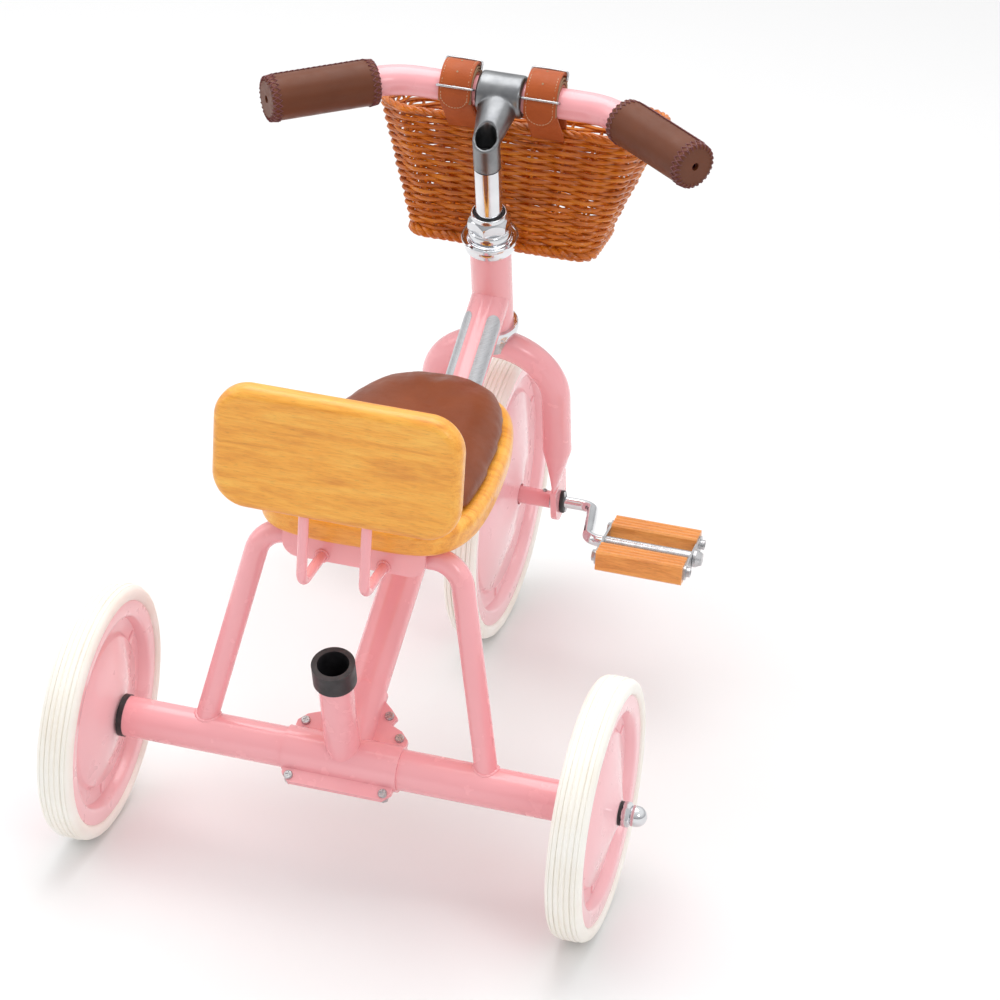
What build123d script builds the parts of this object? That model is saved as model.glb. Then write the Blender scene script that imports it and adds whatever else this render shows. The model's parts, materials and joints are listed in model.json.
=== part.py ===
from build123d import *
from math import cos, radians, sin, tan
import os

os.makedirs("parts", exist_ok=True)

# Lengths in mm, angles in degrees. X points forward, Y to the left, Z up, the ground is z = 0.
# Below, x is measured from the rear axle; everything is shifted on export so that x = 0 is mid-length.

# ---- overall layout
WHEELBASE = 434.0
STEER_TILT = 18.0        # steering axis leans back from the vertical by this much
FIT_GAP = 0.08           # radial running clearance of a journal
BODY_GAP = 0.3           # space between bodies that turn past each other

# ---- wheels
REAR_TYRE_R = 102.0
FRONT_TYRE_R = 130.0
TYRE_WIDTH = 28.0
TYRE_DEPTH = 12.0        # visible rubber from rim edge to tread
TYRE_SEAT = 5.0          # how far the tyre sits inside the rim edge
TREAD_GROOVES = 5
TREAD_GROOVE_W = 1.2
TREAD_GROOVE_D = 0.9
RIM_HALF_W = 11.0
RIM_WALL = 4.0
WEB_HALF = 2.0
RIM_FACE = 4.0           # flat ring beside the tyre
CHANNEL_W = 17.0         # sunk ring between rim and cone
CHANNEL_SLOPE = 2.5
CONE_FOOT = 6.0          # half thickness where the cone meets the sunk ring
HUB_HALF = 18.5
HUB_FLANGE_R = 12.0

# ---- rear axle
REAR_TRACK_HALF = 200.5  # wheel centre plane from the middle
AXLE_TUBE_R = 16.0
TUBE_WALL = 1.6
AXLE_ROD_R = 5.0
BUSH_FLANGE_R = 16.8
BUSH_FLANGE_T = 4.5
BUSH_DEPTH = 16.0
HUB_BUSH_WALL = 2.5
WASHER_R = 9.5
WASHER_T = 1.8
AXLE_NUT_AF = 17.0
AXLE_NUT_H = 7.0
DOME_R = 8.2
DOME_BASE_H = 4.0

# ---- main tube and clamp
MAIN_TUBE_R = 16.0
MAIN_RISE = 33.8         # slope of the main tube
SHELL_T = 2.0
SHELL_HALF_LEN = 46.0
BRANCH_LEN = 60.0
FLANGE_GAP = 0.3
FLANGE_BACK = 29.0
FLANGE_HALF = 44.0
LOBE_R = 6.5
SCREW_SPOTS = ((-24.0, 38.0), (24.0, 38.0), (41.0, 25.0))
M4_R = 2.0
M4_HEAD_R = 3.6
M4_HEAD_H = 2.4
M4_NUT_AF = 7.0
M4_NUT_H = 3.2
CROSS_W = 0.9
CROSS_D = 1.2
CROSS_BITE = 1.2         # slot length over head radius

# ---- push-bar socket
SOCKET_LEAN = 21.2       # leans back from the vertical
SOCKET_R = 13.5
SOCKET_BORE_R = 12.3
SOCKET_FLOOR = 26.0        # bottom of the bore from the rear axle centre
SOCKET_TOP = 112.6       # collar mouth from the rear axle centre
COLLAR_R = 16.7
COLLAR_H = 19.0
COLLAR_LIP = 3.0

# ---- head tube and headset, heights along the steering axis from the front wheel centre
HEAD_R = 17.0
HEAD_BORE_R = 15.1
HEAD_LOW = 196.5
HEAD_HIGH = 278.0
CUP_R = 21.0
CUP_SKIRT = 10.0
CUP_BORE_R = 13.2
LOWER_CUP_H = 8.5
UPPER_CUP_H = 7.0
CUP_CAVITY_R = 18.6
CUP_CAVITY_H = 5.0
BALL_RING_R = 16.2
BALL_R = 1.9
RACE_R = 18.0
RACE_H = 3.2
STEERER_R = 12.7
STEERER_BORE_R = 11.15
STEERER_TOP = 312.0
CONE_R = 17.8
CONE_TOP_R = 14.5
CONE_H = 14.0
DUST_R = 23.5
DUST_T = 1.8
DUST_RISE = 4.0
LOCK_WASHER_T = 1.6
LOCK_WASHER_R = 17.5
LOCKNUT_AF = 32.0
LOCKNUT_H = 11.0
LOCKNUT_COLLAR_R = 14.0
LOCKNUT_COLLAR_H = 3.0

# ---- fork
FORK_R = 12.4
FORK_HALF = 52.5         # leg centre from the middle
CROWN_HIGH = 172.0       # crown centre above the wheel centre
FORK_WALL = 2.0
CROWN_SEAT_R = 15.5
LEG_ROUND_END = 62.0
LEG_FLAT_START = 24.0
DROPOUT_HALF_W = 16.5
DROPOUT_T = 5.0
BEARING_R = 9.0
BEARING_FLANGE_HALF = 13.0
BEARING_FLANGE_R = 9.5
BEARING_FLANGE_T = 3.5
BEARING_SCREW_AT = 14.0
BEARING_SCREW_R = 1.6
BEARING_HEAD_R = 3.0
BEARING_HEAD_H = 2.0

# ---- crank and pedals
CRANK_R = 5.0
CRANK_THROW = 82.0
CRANK_ANGLE = 172.0      # direction of the right crank arm, from forward towards up
CRANK_BEND = 13.0
ARM_INNER_Y = 84.0
ARM_OUTER_Y = 99.0
SPINDLE_R = 4.0
SPINDLE_START_Y = 112.0
SLEEVE_R = 7.5
SLEEVE_END_Y = 46.0
SET_SCREW_R = 2.0
SET_SCREW_Y = 40.0
SET_SCREW_H = 3.6
PEDAL_INNER_Y = 113.0
PEDAL_LEN = 78.0
PLATE_T = 2.0
BLOCK_W = 20.0
BLOCK_H = 18.0
BLOCK_SPACING = 53.0
BLOCK_EDGE = 1.5
NOTCH_W = 2.4
NOTCH_PITCH = 5.0
PEDAL_TUBE_R = 5.5
PEDAL_BOLT_R = 2.5
PEDAL_HEAD_R = 4.2
PEDAL_HEAD_H = 3.4
PEDAL_PLATE_H = 13.0
PEDAL_CAP_R = 7.5
PEDAL_CAP_H = 7.0
PEDAL_NUT_T = 3.0

# ---- stem and handlebar
QUILL_R = 11.1
QUILL_BORE_R = 4.0
QUILL_LOW = 245.0
QUILL_JOINT = 360.0
STEM_TOP = 404.0
STEM_REACH = 48.0
CLAMP_HIGH = 397.0
CLAMP_R = 17.5
CLAMP_HALF = 19.0
NECK_H = 21.0
STEM_CUT_TILT = 33.0
PLUG_R = 8.4
PLUG_DEPTH = 2.5
PLUG_H = 7.0
STEM_BOLT_R = 3.0
WEDGE_H = 22.0
BAR_R = 12.5
BAR_WALL = 1.8
BAR_CORNER_Y = 88.0
BAR_BEND = 55.0
GRIP_END = (288.0, 176.0, 514.0)
GRIP_LEN = 92.0
GRIP_R = 18.6
GRIP_CAP = 3.0
GRIP_VENT_R = 3.2
GRIP_EDGE = 3.0
CLAMP_SLOT = 2.0
CLAMP_BOLT_R = 3.0

# ---- basket and straps
BASKET_RIM_Z = 492.0
BASKET_BASE_Z = 380.0
BASKET_BACK_X = 376.0
BASKET_TOP_DEPTH = 125.0
BASKET_BASE_DEPTH = 80.0
BASKET_BASE_SET = -2.0
BASKET_TOP_HALF = 120.0
BASKET_BASE_HALF = 78.0
BASKET_TOP_CORNER = 42.0
BASKET_BASE_CORNER = 14.0
BASKET_T = 5.0
STRAP_Y = (35.5, -35.5)
STRAP_W = 27.0
STRAP_T = 2.4
STRAP_HOOK_R = 5.5
STRAP_HOOK_Z = 485.0
FLAP_T = 2.2
FLAP_TAIL = 12.0
BUCKLE_WIRE_R = 0.9
BUCKLE_MARGIN = 1.4
BUCKLE_ANGLES = (100.0, 188.0)

# ---- seat
ARCH_R = 9.0
ARCH_WALL = 1.5
ARCH_FOOT_Y = 115.5
ARCH_TOP_Y = 78.0
ARCH_TOP_Z = 279.0
ARCH_LEAN = 0.1          # forward run per unit of height
ARCH_BEND = 24.0
PLATE_TOP_Z = 291.0
SEAT_PLATE_T = 3.0
PLATE_BACK_X = -1.5
PLATE_FRONT_X = 230.0
PLATE_HALF = 56.0
PLATE_FRONT_HALF = 30.0
PLATE_FLANGE_LOW = 270.0
PLATE_CORNER = 12.0
GUSSET_T = 4.0
GUSSET_BACK_X = 190.0
ROD_R = 4.0
ROD_Y = 24.2
ROD_Z = 274.5
ROD_BACK_X = -50.5
ROD_TOP_Z = 352.0
ROD_BEND = 11.0
BACK_BOARD_T = 20.0
BACK_BOARD_HALF = 94.5
BACK_BOARD_LOW = 332.0
BACK_BOARD_HIGH = 429.5
BACK_BOARD_CORNER = 27.0
BACK_BOARD_EDGE = 8.0
SEAT_BOARD_T = 22.0
SEAT_BOARD_EDGE = 7.5
SEAT_HALF_WIDTHS = ((-13.0, 42.0), (-3.0, 67.0), (22.0, 81.0), (62.0, 85.0), (134.0, 79.5),
                    (200.0, 66.5), (233.0, 49.0), (248.0, 25.0))
SEAT_BACK_X = -14.5
SEAT_FRONT_X = 252.0
CUSHION_INSET = 6.5
CUSHION_T = 20.0
CUSHION_EDGE = 9.0
SEAT_SCREW_SPOTS = ((45.0, 35.0), (170.0, 24.0))
SEAT_SCREW_R = 2.5
SEAT_SCREW_HEAD_R = 5.0
SEAT_SCREW_HEAD_H = 2.2
SEAT_SCREW_BITE = 14.0

# ---- plain strips on the main tube
STRIP_T = 0.3
STRIP_FROM = 318.0
STRIP_LEN = 92.0
STRIP_W = 15.0
STRIP_TURN = 52.0        # round the tube from its top line

# ---- derived places
MID_X = (WHEELBASE + FRONT_TYRE_R - REAR_TYRE_R) / 2
REAR_AXLE = Pos(0, 0, REAR_TYRE_R)
CLAMP_FRAME = REAR_AXLE * Rot(0, -MAIN_RISE, 0)
STEER_FRAME = Pos(WHEELBASE, 0, FRONT_TYRE_R) * Rot(0, -STEER_TILT, 0)
SOCKET_FRAME = REAR_AXLE * Rot(0, -SOCKET_LEAN, 0)
SIDES = (1, -1)


def steer_point(forward, side, up):
    """A point given forward of, beside and up along the steering axis, as plain x, y, z."""
    lean = radians(STEER_TILT)
    x = WHEELBASE + forward * cos(lean) - up * sin(lean)
    z = FRONT_TYRE_R + forward * sin(lean) + up * cos(lean)
    return Vector(x, side, z)


BAR_X = steer_point(STEM_REACH, 0, CLAMP_HIGH).X
BAR_Z = steer_point(STEM_REACH, 0, CLAMP_HIGH).Z


def rod(radius, length, low=0.0):
    """Cylinder standing on z = low."""
    return Pos(0, 0, low + length / 2) * Cylinder(radius, length)


def ring(r_out, r_in, length, low=0.0):
    """Tube standing on z = low."""
    return rod(r_out, length, low) - rod(r_in, length, low)


def cross_rod(radius, y_from, y_to):
    """Cylinder along Y."""
    length = abs(y_to - y_from)
    return Pos(0, (y_from + y_to) / 2, 0) * Rot(90, 0, 0) * Cylinder(radius, length)


def cross_ring(r_out, r_in, y_from, y_to):
    """Tube along Y."""
    return cross_rod(r_out, y_from, y_to) - cross_rod(r_in, y_from, y_to)


def hex_prism(across_flats, length, low=0.0):
    """Hexagonal prism standing on z = low."""
    return Pos(0, 0, low) * extrude(RegularPolygon(across_flats / 2, 6, major_radius=False), length)


def bent_path(points, bend):
    """Line through the points with every inner corner rounded to the bend radius."""
    spots = [Vector(*p) for p in points]
    pieces = []
    start = spots[0]
    for before, corner, after in zip(spots, spots[1:], spots[2:]):
        u = (corner - before).normalized()
        v = (after - corner).normalized()
        half_turn = radians(u.get_angle(v) / 2)
        reach = bend * tan(half_turn)
        centre = corner + (v - u).normalized() * (bend / cos(half_turn))
        middle = centre + (corner - centre).normalized() * bend
        arc_start = corner - u * reach
        arc_end = corner + v * reach
        if (arc_start - start).length > 1e-6:
            pieces.append(Edge.make_line(start, arc_start))
        pieces.append(Edge.make_three_point_arc(arc_start, middle, arc_end))
        start = arc_end
    if (spots[-1] - start).length > 1e-6:
        pieces.append(Edge.make_line(start, spots[-1]))
    return Wire(pieces)


def bent_bar(points, bend, radius, bore=0.0):
    """Round bar, or tube when bore is given, along a bent path."""
    path = bent_path(points, bend)
    start = Plane(origin=path @ 0, z_dir=path % 0)
    bar = sweep(start * Circle(radius), path=path)
    if bore:
        bar -= sweep(start * Circle(bore), path=path)
    return bar


def screw(shank_r, head_r, head_h, length):
    """Round-headed screw with a cross slot: head above z = 0, shank below."""
    body = rod(head_r, head_h) + rod(shank_r, length, -length)
    body = chamfer(body.faces().sort_by(Axis.Z)[-1].edges(), head_h / 4)
    for turn in (0, 90):
        slot = Rot(0, 0, turn) * Box(head_r * CROSS_BITE, CROSS_W, CROSS_D)
        body -= Pos(0, 0, head_h) * slot
    return body


# ---- wheels
def wheel_disc(tyre_r, bore_r):
    """Dished wheel centre with a channel rim, made about Z at the origin."""
    rim_r = tyre_r - TYRE_DEPTH
    seat_r = rim_r - TYRE_SEAT
    inner_r = seat_r - RIM_WALL
    channel_r = inner_r - RIM_FACE
    cone_r = channel_r - CHANNEL_W
    half = [
        (bore_r, 0), (bore_r, HUB_HALF), (HUB_FLANGE_R, HUB_HALF), (cone_r, CONE_FOOT),
        (cone_r + CHANNEL_SLOPE, WEB_HALF), (channel_r - CHANNEL_SLOPE, WEB_HALF), (channel_r, RIM_HALF_W),
        (rim_r, RIM_HALF_W + RIM_WALL / 2), (rim_r, RIM_HALF_W), (seat_r, RIM_HALF_W), (seat_r, 0),
    ]
    outline = half + [(r, -w) for r, w in reversed(half[1:-1])]
    profile = Plane.XZ * make_face(Polyline(*outline, close=True))
    return revolve(profile, Axis.Z)


def tyre(tyre_r):
    """Solid rubber tyre with ribs running round the tread, made about Z at the origin."""
    seat_r = tyre_r - TYRE_DEPTH - TYRE_SEAT
    shoulder = TYRE_DEPTH / 3
    half_w = TYRE_WIDTH / 2
    rim_r = tyre_r - TYRE_DEPTH
    half = [
        (seat_r, 0), (seat_r, RIM_HALF_W), (rim_r + FLANGE_GAP, RIM_HALF_W),
        (rim_r + FLANGE_GAP, half_w), (tyre_r - shoulder, half_w),
        (tyre_r - shoulder / 4, half_w - shoulder), (tyre_r, half_w - 2 * shoulder), (tyre_r, 0),
    ]
    outline = half + [(r, -w) for r, w in reversed(half[1:-1])]
    body = revolve(Plane.XZ * make_face(Polyline(*outline, close=True)), Axis.Z)
    pitch = (TYRE_WIDTH - 4 * shoulder) / (TREAD_GROOVES - 1)
    for i in range(TREAD_GROOVES):
        low = -pitch * (TREAD_GROOVES - 1) / 2 + i * pitch - TREAD_GROOVE_W / 2
        body -= ring(tyre_r + 1, tyre_r - TREAD_GROOVE_D, TREAD_GROOVE_W, low)
    return body


def rear_wheel(side):
    """Tyre, disc and hub bush of one rear wheel."""
    place = REAR_AXLE * Pos(0, side * REAR_TRACK_HALF, 0) * Rot(90, 0, 0)
    bush_r = AXLE_ROD_R + FIT_GAP + HUB_BUSH_WALL
    bush = ring(bush_r, AXLE_ROD_R + FIT_GAP, 2 * HUB_HALF, -HUB_HALF)
    return place * tyre(REAR_TYRE_R), place * wheel_disc(REAR_TYRE_R, bush_r), place * bush


def front_wheel():
    """Tyre and disc of the front wheel."""
    place = Pos(WHEELBASE, 0, FRONT_TYRE_R) * Rot(90, 0, 0)
    return place * tyre(FRONT_TYRE_R), place * wheel_disc(FRONT_TYRE_R, SLEEVE_R)


# ---- rear axle
HUB_INNER_Y = REAR_TRACK_HALF - HUB_HALF
HUB_OUTER_Y = REAR_TRACK_HALF + HUB_HALF
BUSH_OUTER_Y = HUB_INNER_Y - BODY_GAP
TUBE_END_Y = BUSH_OUTER_Y - BUSH_FLANGE_T
WASHER_Y = HUB_OUTER_Y + BODY_GAP
NUT_Y = WASHER_Y + WASHER_T
DOME_Y = NUT_Y + AXLE_NUT_H
ROD_END_Y = DOME_Y + DOME_BASE_H


def rear_axle_tube():
    """Cross tube between the rear wheels."""
    return REAR_AXLE * cross_ring(AXLE_TUBE_R, AXLE_TUBE_R - TUBE_WALL, -TUBE_END_Y, TUBE_END_Y)


def rear_axle_rod():
    """Solid rod through the cross tube that carries both rear wheels."""
    return REAR_AXLE * cross_rod(AXLE_ROD_R, -ROD_END_Y, ROD_END_Y)


def axle_end_bush(side):
    """Flanged bush closing one end of the cross tube."""
    body = cross_rod(BUSH_FLANGE_R, side * TUBE_END_Y, side * BUSH_OUTER_Y)
    body += cross_rod(AXLE_TUBE_R - TUBE_WALL, side * (TUBE_END_Y - BUSH_DEPTH), side * TUBE_END_Y)
    return REAR_AXLE * (body - cross_rod(AXLE_ROD_R, 0, side * ROD_END_Y))


def axle_washer(side):
    """Washer between one rear hub and its nut."""
    return REAR_AXLE * cross_ring(WASHER_R, AXLE_ROD_R, side * WASHER_Y, side * NUT_Y)


def axle_hex_nut(side):
    """Hex nut outside one rear wheel."""
    body = hex_prism(AXLE_NUT_AF, AXLE_NUT_H) - rod(AXLE_ROD_R, AXLE_NUT_H)
    return REAR_AXLE * Pos(0, side * NUT_Y, 0) * Rot(-90 * side, 0, 0) * body


def axle_dome_nut(side):
    """Dome nut that covers one end of the axle rod."""
    body = rod(DOME_R, DOME_BASE_H) + Pos(0, 0, DOME_BASE_H) * Sphere(DOME_R)
    body -= Pos(0, 0, -DOME_R) * Box(4 * DOME_R, 4 * DOME_R, 2 * DOME_R)
    body -= rod(AXLE_ROD_R, DOME_BASE_H)
    return REAR_AXLE * Pos(0, side * DOME_Y, 0) * Rot(-90 * side, 0, 0) * body


# ---- main tube, head tube, clamp
def head_tube():
    """Tube that holds the steering."""
    return STEER_FRAME * ring(HEAD_R, HEAD_BORE_R, HEAD_HIGH - HEAD_LOW, HEAD_LOW)


def main_tube():
    """Straight tube from the rear cross tube up to the head tube, ends shaped to both."""
    reach = WHEELBASE
    body = Rot(0, 90, 0) * ring(MAIN_TUBE_R, MAIN_TUBE_R - TUBE_WALL, reach)
    body = CLAMP_FRAME * body
    behind_head = STEER_FRAME * Pos(reach, 0, 0) * Box(2 * reach, 2 * reach, 4 * reach)
    body -= behind_head
    body -= STEER_FRAME * rod(HEAD_R, reach, 0)
    body -= REAR_AXLE * cross_rod(AXLE_TUBE_R + FLANGE_GAP, -reach, reach)
    return body.solids().sort_by(SortBy.VOLUME)[-1]


def flange_plan():
    """Flat outline of the clamp flanges around the screws, in the plane of both tubes."""
    half = [
        (-FLANGE_BACK, 0), (-FLANGE_BACK, FLANGE_HALF - LOBE_R), (-FLANGE_BACK + LOBE_R, FLANGE_HALF),
        (0, SHELL_HALF_LEN), (SCREW_SPOTS[1][0], SCREW_SPOTS[1][1] + LOBE_R),
        (SCREW_SPOTS[1][0] + LOBE_R, SCREW_SPOTS[1][1]),
        (SCREW_SPOTS[2][0] - LOBE_R, SCREW_SPOTS[2][1] + LOBE_R / 2),
        (SCREW_SPOTS[2][0], SCREW_SPOTS[2][1] + LOBE_R), (SCREW_SPOTS[2][0] + LOBE_R, SCREW_SPOTS[2][1]),
        (SCREW_SPOTS[2][0] + 2 * LOBE_R, MAIN_TUBE_R + SHELL_T / 2), (BRANCH_LEN, 0),
    ]
    outline = half + [(x, -y) for x, y in reversed(half[1:-1])]
    return make_face(Polyline(*outline, close=True))


def clamp_shell(up):
    """One pressed half of the clamp round both tubes; up is 1 for the upper half, -1 for the lower."""
    body = cross_rod(AXLE_TUBE_R + SHELL_T, -SHELL_HALF_LEN, SHELL_HALF_LEN)
    body += Rot(0, 90, 0) * rod(MAIN_TUBE_R + SHELL_T, BRANCH_LEN)
    half_space = Pos(0, 0, BRANCH_LEN + FLANGE_GAP) * Box(4 * BRANCH_LEN, 4 * BRANCH_LEN, 2 * BRANCH_LEN)
    body &= half_space
    body += Pos(0, 0, FLANGE_GAP) * extrude(flange_plan(), SHELL_T)
    body -= cross_rod(AXLE_TUBE_R, -2 * SHELL_HALF_LEN, 2 * SHELL_HALF_LEN)
    body -= Rot(0, 90, 0) * rod(MAIN_TUBE_R, 2 * BRANCH_LEN)
    for x, y in SCREW_SPOTS:
        for side in SIDES:
            body -= Pos(x, side * y, 0) * rod(M4_R, 2 * SHELL_T)
    if up < 0:
        body = mirror(body, Plane.XY)
    return CLAMP_FRAME * body


def clamp_screws():
    """Six screws through the clamp flanges."""
    length = 2 * (FLANGE_GAP + SHELL_T) + M4_NUT_H
    one = screw(M4_R, M4_HEAD_R, M4_HEAD_H, length)
    spots = [(x, s * y) for x, y in SCREW_SPOTS for s in SIDES]
    high = FLANGE_GAP + SHELL_T
    return Compound([CLAMP_FRAME * Pos(x, y, high) * one for x, y in spots])


def clamp_nuts():
    """Six hex nuts under the clamp flanges."""
    low = -(FLANGE_GAP + SHELL_T) - M4_NUT_H
    one = hex_prism(M4_NUT_AF, M4_NUT_H, low) - rod(M4_R, M4_NUT_H, low)
    spots = [(x, s * y) for x, y in SCREW_SPOTS for s in SIDES]
    return Compound([CLAMP_FRAME * Pos(x, y, 0) * one for x, y in spots])


def push_bar_socket():
    """Push-bar tube rising from the clamp, open above its solid foot."""
    body = rod(SOCKET_R, SOCKET_TOP - COLLAR_LIP) - rod(SOCKET_BORE_R, SOCKET_TOP, SOCKET_FLOOR)
    body = SOCKET_FRAME * body
    body -= REAR_AXLE * cross_rod(AXLE_TUBE_R + SHELL_T, -SHELL_HALF_LEN, SHELL_HALF_LEN)
    body -= CLAMP_FRAME * Rot(0, 90, 0) * rod(MAIN_TUBE_R + SHELL_T, 2 * BRANCH_LEN)
    return body.solids().sort_by(SortBy.VOLUME)[-1]


def socket_collar():
    """Plastic ring over the mouth of the push-bar socket."""
    body = ring(COLLAR_R, SOCKET_R, COLLAR_H - COLLAR_LIP, SOCKET_TOP - COLLAR_H)
    body += ring(COLLAR_R, SOCKET_BORE_R, COLLAR_LIP, SOCKET_TOP - COLLAR_LIP)
    return SOCKET_FRAME * body


def tube_strip(side):
    """Thin plain strip with round ends stuck on one side of the main tube."""
    skin = Rot(0, 90, 0) * ring(MAIN_TUBE_R + STRIP_T, MAIN_TUBE_R, STRIP_LEN, STRIP_FROM)
    stadium = extrude(Pos(STRIP_FROM + STRIP_LEN / 2, 0) * SlotOverall(STRIP_LEN, STRIP_W), 2 * MAIN_TUBE_R)
    return CLAMP_FRAME * (skin & (Rot(-side * STRIP_TURN, 0, 0) * stadium))


# ---- headset
def lower_cup():
    """Cup pressed into the bottom of the head tube."""
    low = HEAD_LOW - LOWER_CUP_H
    body = rod(CUP_R, LOWER_CUP_H, low)
    body = chamfer(body.faces().sort_by(Axis.Z)[-1].edges(), LOWER_CUP_H / 3)
    body += rod(HEAD_BORE_R, CUP_SKIRT, HEAD_LOW)
    body -= rod(CUP_BORE_R, CUP_SKIRT + LOWER_CUP_H, low)
    body -= rod(CUP_CAVITY_R, CUP_CAVITY_H, low)
    return STEER_FRAME * body


def upper_cup():
    """Cup pressed into the top of the head tube."""
    body = rod(CUP_R, UPPER_CUP_H, HEAD_HIGH)
    body = chamfer(body.faces().sort_by(Axis.Z)[0].edges(), UPPER_CUP_H / 4)
    body += rod(HEAD_BORE_R, CUP_SKIRT, HEAD_HIGH - CUP_SKIRT)
    body -= rod(CUP_BORE_R, CUP_SKIRT + UPPER_CUP_H, HEAD_HIGH - CUP_SKIRT)
    body -= rod(CUP_CAVITY_R, CUP_CAVITY_H, HEAD_HIGH + UPPER_CUP_H - CUP_CAVITY_H)
    return STEER_FRAME * body


def ball_ring(high):
    """Bearing balls of one cup, taken as a plain ring."""
    return STEER_FRAME * Pos(0, 0, high) * Torus(BALL_RING_R, BALL_R)


LOWER_CAVITY_TOP = HEAD_LOW - LOWER_CUP_H + CUP_CAVITY_H
UPPER_CAVITY_LOW = HEAD_HIGH + UPPER_CUP_H - CUP_CAVITY_H
LOWER_BALLS_Z = LOWER_CAVITY_TOP - FIT_GAP - BALL_R
UPPER_BALLS_Z = UPPER_CAVITY_LOW + FIT_GAP + BALL_R
RACE_TOP = LOWER_BALLS_Z - BALL_R - BODY_GAP
CONE_LOW = UPPER_BALLS_Z + BALL_R + BODY_GAP
CONE_HIGH = CONE_LOW + CONE_H
LOCK_LOW = CONE_HIGH + LOCK_WASHER_T


def crown_race():
    """Ring on the fork crown under the lower balls."""
    return STEER_FRAME * ring(RACE_R, STEERER_R, RACE_H, RACE_TOP - RACE_H)


def adjusting_cone():
    """Threaded cone over the upper balls with its flared dust washer."""
    body = rod(CONE_R, CONE_H / 3, CONE_LOW)
    body += Pos(0, 0, CONE_LOW + CONE_H * 2 / 3) * Cone(CONE_R, CONE_TOP_R, CONE_H * 2 / 3)
    dust_low = HEAD_HIGH + UPPER_CUP_H + BODY_GAP
    body += rod(DUST_R, DUST_T, dust_low)
    body += Pos(0, 0, dust_low + DUST_T + DUST_RISE / 2) * Cone(DUST_R, CONE_R, DUST_RISE)
    return STEER_FRAME * (body - rod(STEERER_R, 2 * CONE_H, CONE_LOW - BODY_GAP))


def lock_washer():
    """Flat washer between cone and locknut."""
    return STEER_FRAME * ring(LOCK_WASHER_R, STEERER_R, LOCK_WASHER_T, CONE_HIGH)


def locknut():
    """Hex locknut of the headset with a round collar on top."""
    body = hex_prism(LOCKNUT_AF, LOCKNUT_H, LOCK_LOW)
    body += rod(LOCKNUT_COLLAR_R, LOCKNUT_COLLAR_H, LOCK_LOW + LOCKNUT_H)
    body -= rod(STEERER_R, LOCKNUT_H + LOCKNUT_COLLAR_H, LOCK_LOW)
    return STEER_FRAME * body


# ---- fork
def fork():
    """Bent fork tube over the wheel with flattened, drilled leg ends."""
    turn = FORK_HALF - TUBE_WALL
    points = [(0, FORK_HALF, LEG_ROUND_END), (0, FORK_HALF, CROWN_HIGH),
              (0, -FORK_HALF, CROWN_HIGH), (0, -FORK_HALF, LEG_ROUND_END)]
    body = bent_bar(points, turn, FORK_R, FORK_R - FORK_WALL)
    for side in SIDES:
        body += Pos(0, side * FORK_HALF, 0) * fork_end()
        body -= cross_rod(BEARING_R, side * (FORK_HALF - DROPOUT_T), side * (FORK_HALF + DROPOUT_T))
    body -= rod(STEERER_R, FORK_HALF, CROWN_HIGH)
    return STEER_FRAME * body


def fork_end():
    """Leg end going from round to flat, with a round dropout plate."""
    round_end = Plane(origin=(0, 0, LEG_ROUND_END)) * Circle(FORK_R)
    flat_end = Plane(origin=(0, 0, LEG_FLAT_START)) * Ellipse(DROPOUT_HALF_W, DROPOUT_T / 2)
    body = loft([round_end, flat_end])
    blade = Pos(0, 0, LEG_FLAT_START / 2) * Box(2 * DROPOUT_HALF_W, DROPOUT_T, LEG_FLAT_START)
    return body + blade + cross_rod(DROPOUT_HALF_W, -DROPOUT_T / 2, DROPOUT_T / 2)


def steerer():
    """Fork steerer tube with the seat it stands on."""
    body = rod(STEERER_R, STEERER_TOP - CROWN_HIGH, CROWN_HIGH)
    body += rod(CROWN_SEAT_R, RACE_TOP - RACE_H - CROWN_HIGH, CROWN_HIGH)
    body -= rod(STEERER_BORE_R, STEERER_TOP, CROWN_HIGH)
    crown = cross_rod(FORK_R, -FORK_HALF, FORK_HALF)
    body -= Pos(0, 0, CROWN_HIGH) * (crown - rod(STEERER_R, 4 * FORK_R, -2 * FORK_R))
    return STEER_FRAME * body


DROPOUT_IN_Y = FORK_HALF - DROPOUT_T / 2
DROPOUT_OUT_Y = FORK_HALF + DROPOUT_T / 2


def axle_bearing(side):
    """Flanged plastic bearing of the crank axle in one fork end."""
    outer_y = side * (DROPOUT_OUT_Y + BEARING_FLANGE_T)
    body = cross_rod(BEARING_R, side * DROPOUT_IN_Y, outer_y)
    reach = BEARING_FLANGE_HALF
    plate = Box(2 * BEARING_FLANGE_R, BEARING_FLANGE_T, 2 * reach)
    plate_y = side * (DROPOUT_OUT_Y + BEARING_FLANGE_T / 2)
    body += Pos(0, plate_y, 0) * plate
    for end in SIDES:
        body += Pos(0, 0, end * reach) * cross_rod(BEARING_FLANGE_R, side * DROPOUT_OUT_Y, outer_y)
    body -= cross_rod(CRANK_R + FIT_GAP, 0, side * ARM_INNER_Y)
    return STEER_FRAME * body


def bearing_screws():
    """Four small screws that hold the two bearings to the fork ends."""
    high = DROPOUT_OUT_Y + BEARING_FLANGE_T
    one = rod(BEARING_HEAD_R, BEARING_HEAD_H)
    for turn in (0, 90):
        one -= Pos(0, 0, BEARING_HEAD_H) * Rot(0, 0, turn) * Box(2 * BEARING_SCREW_R, CROSS_W, CROSS_D)
    spots = [(side, end) for side in SIDES for end in SIDES]
    return Compound([STEER_FRAME * Pos(0, side * high, end * BEARING_SCREW_AT) * Rot(-90 * side, 0, 0) * one
                     for side, end in spots])


# ---- crank axle and hub sleeve
CRANK_PLACE = Pos(WHEELBASE, 0, FRONT_TYRE_R) * Rot(0, -CRANK_ANGLE, 0)


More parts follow.
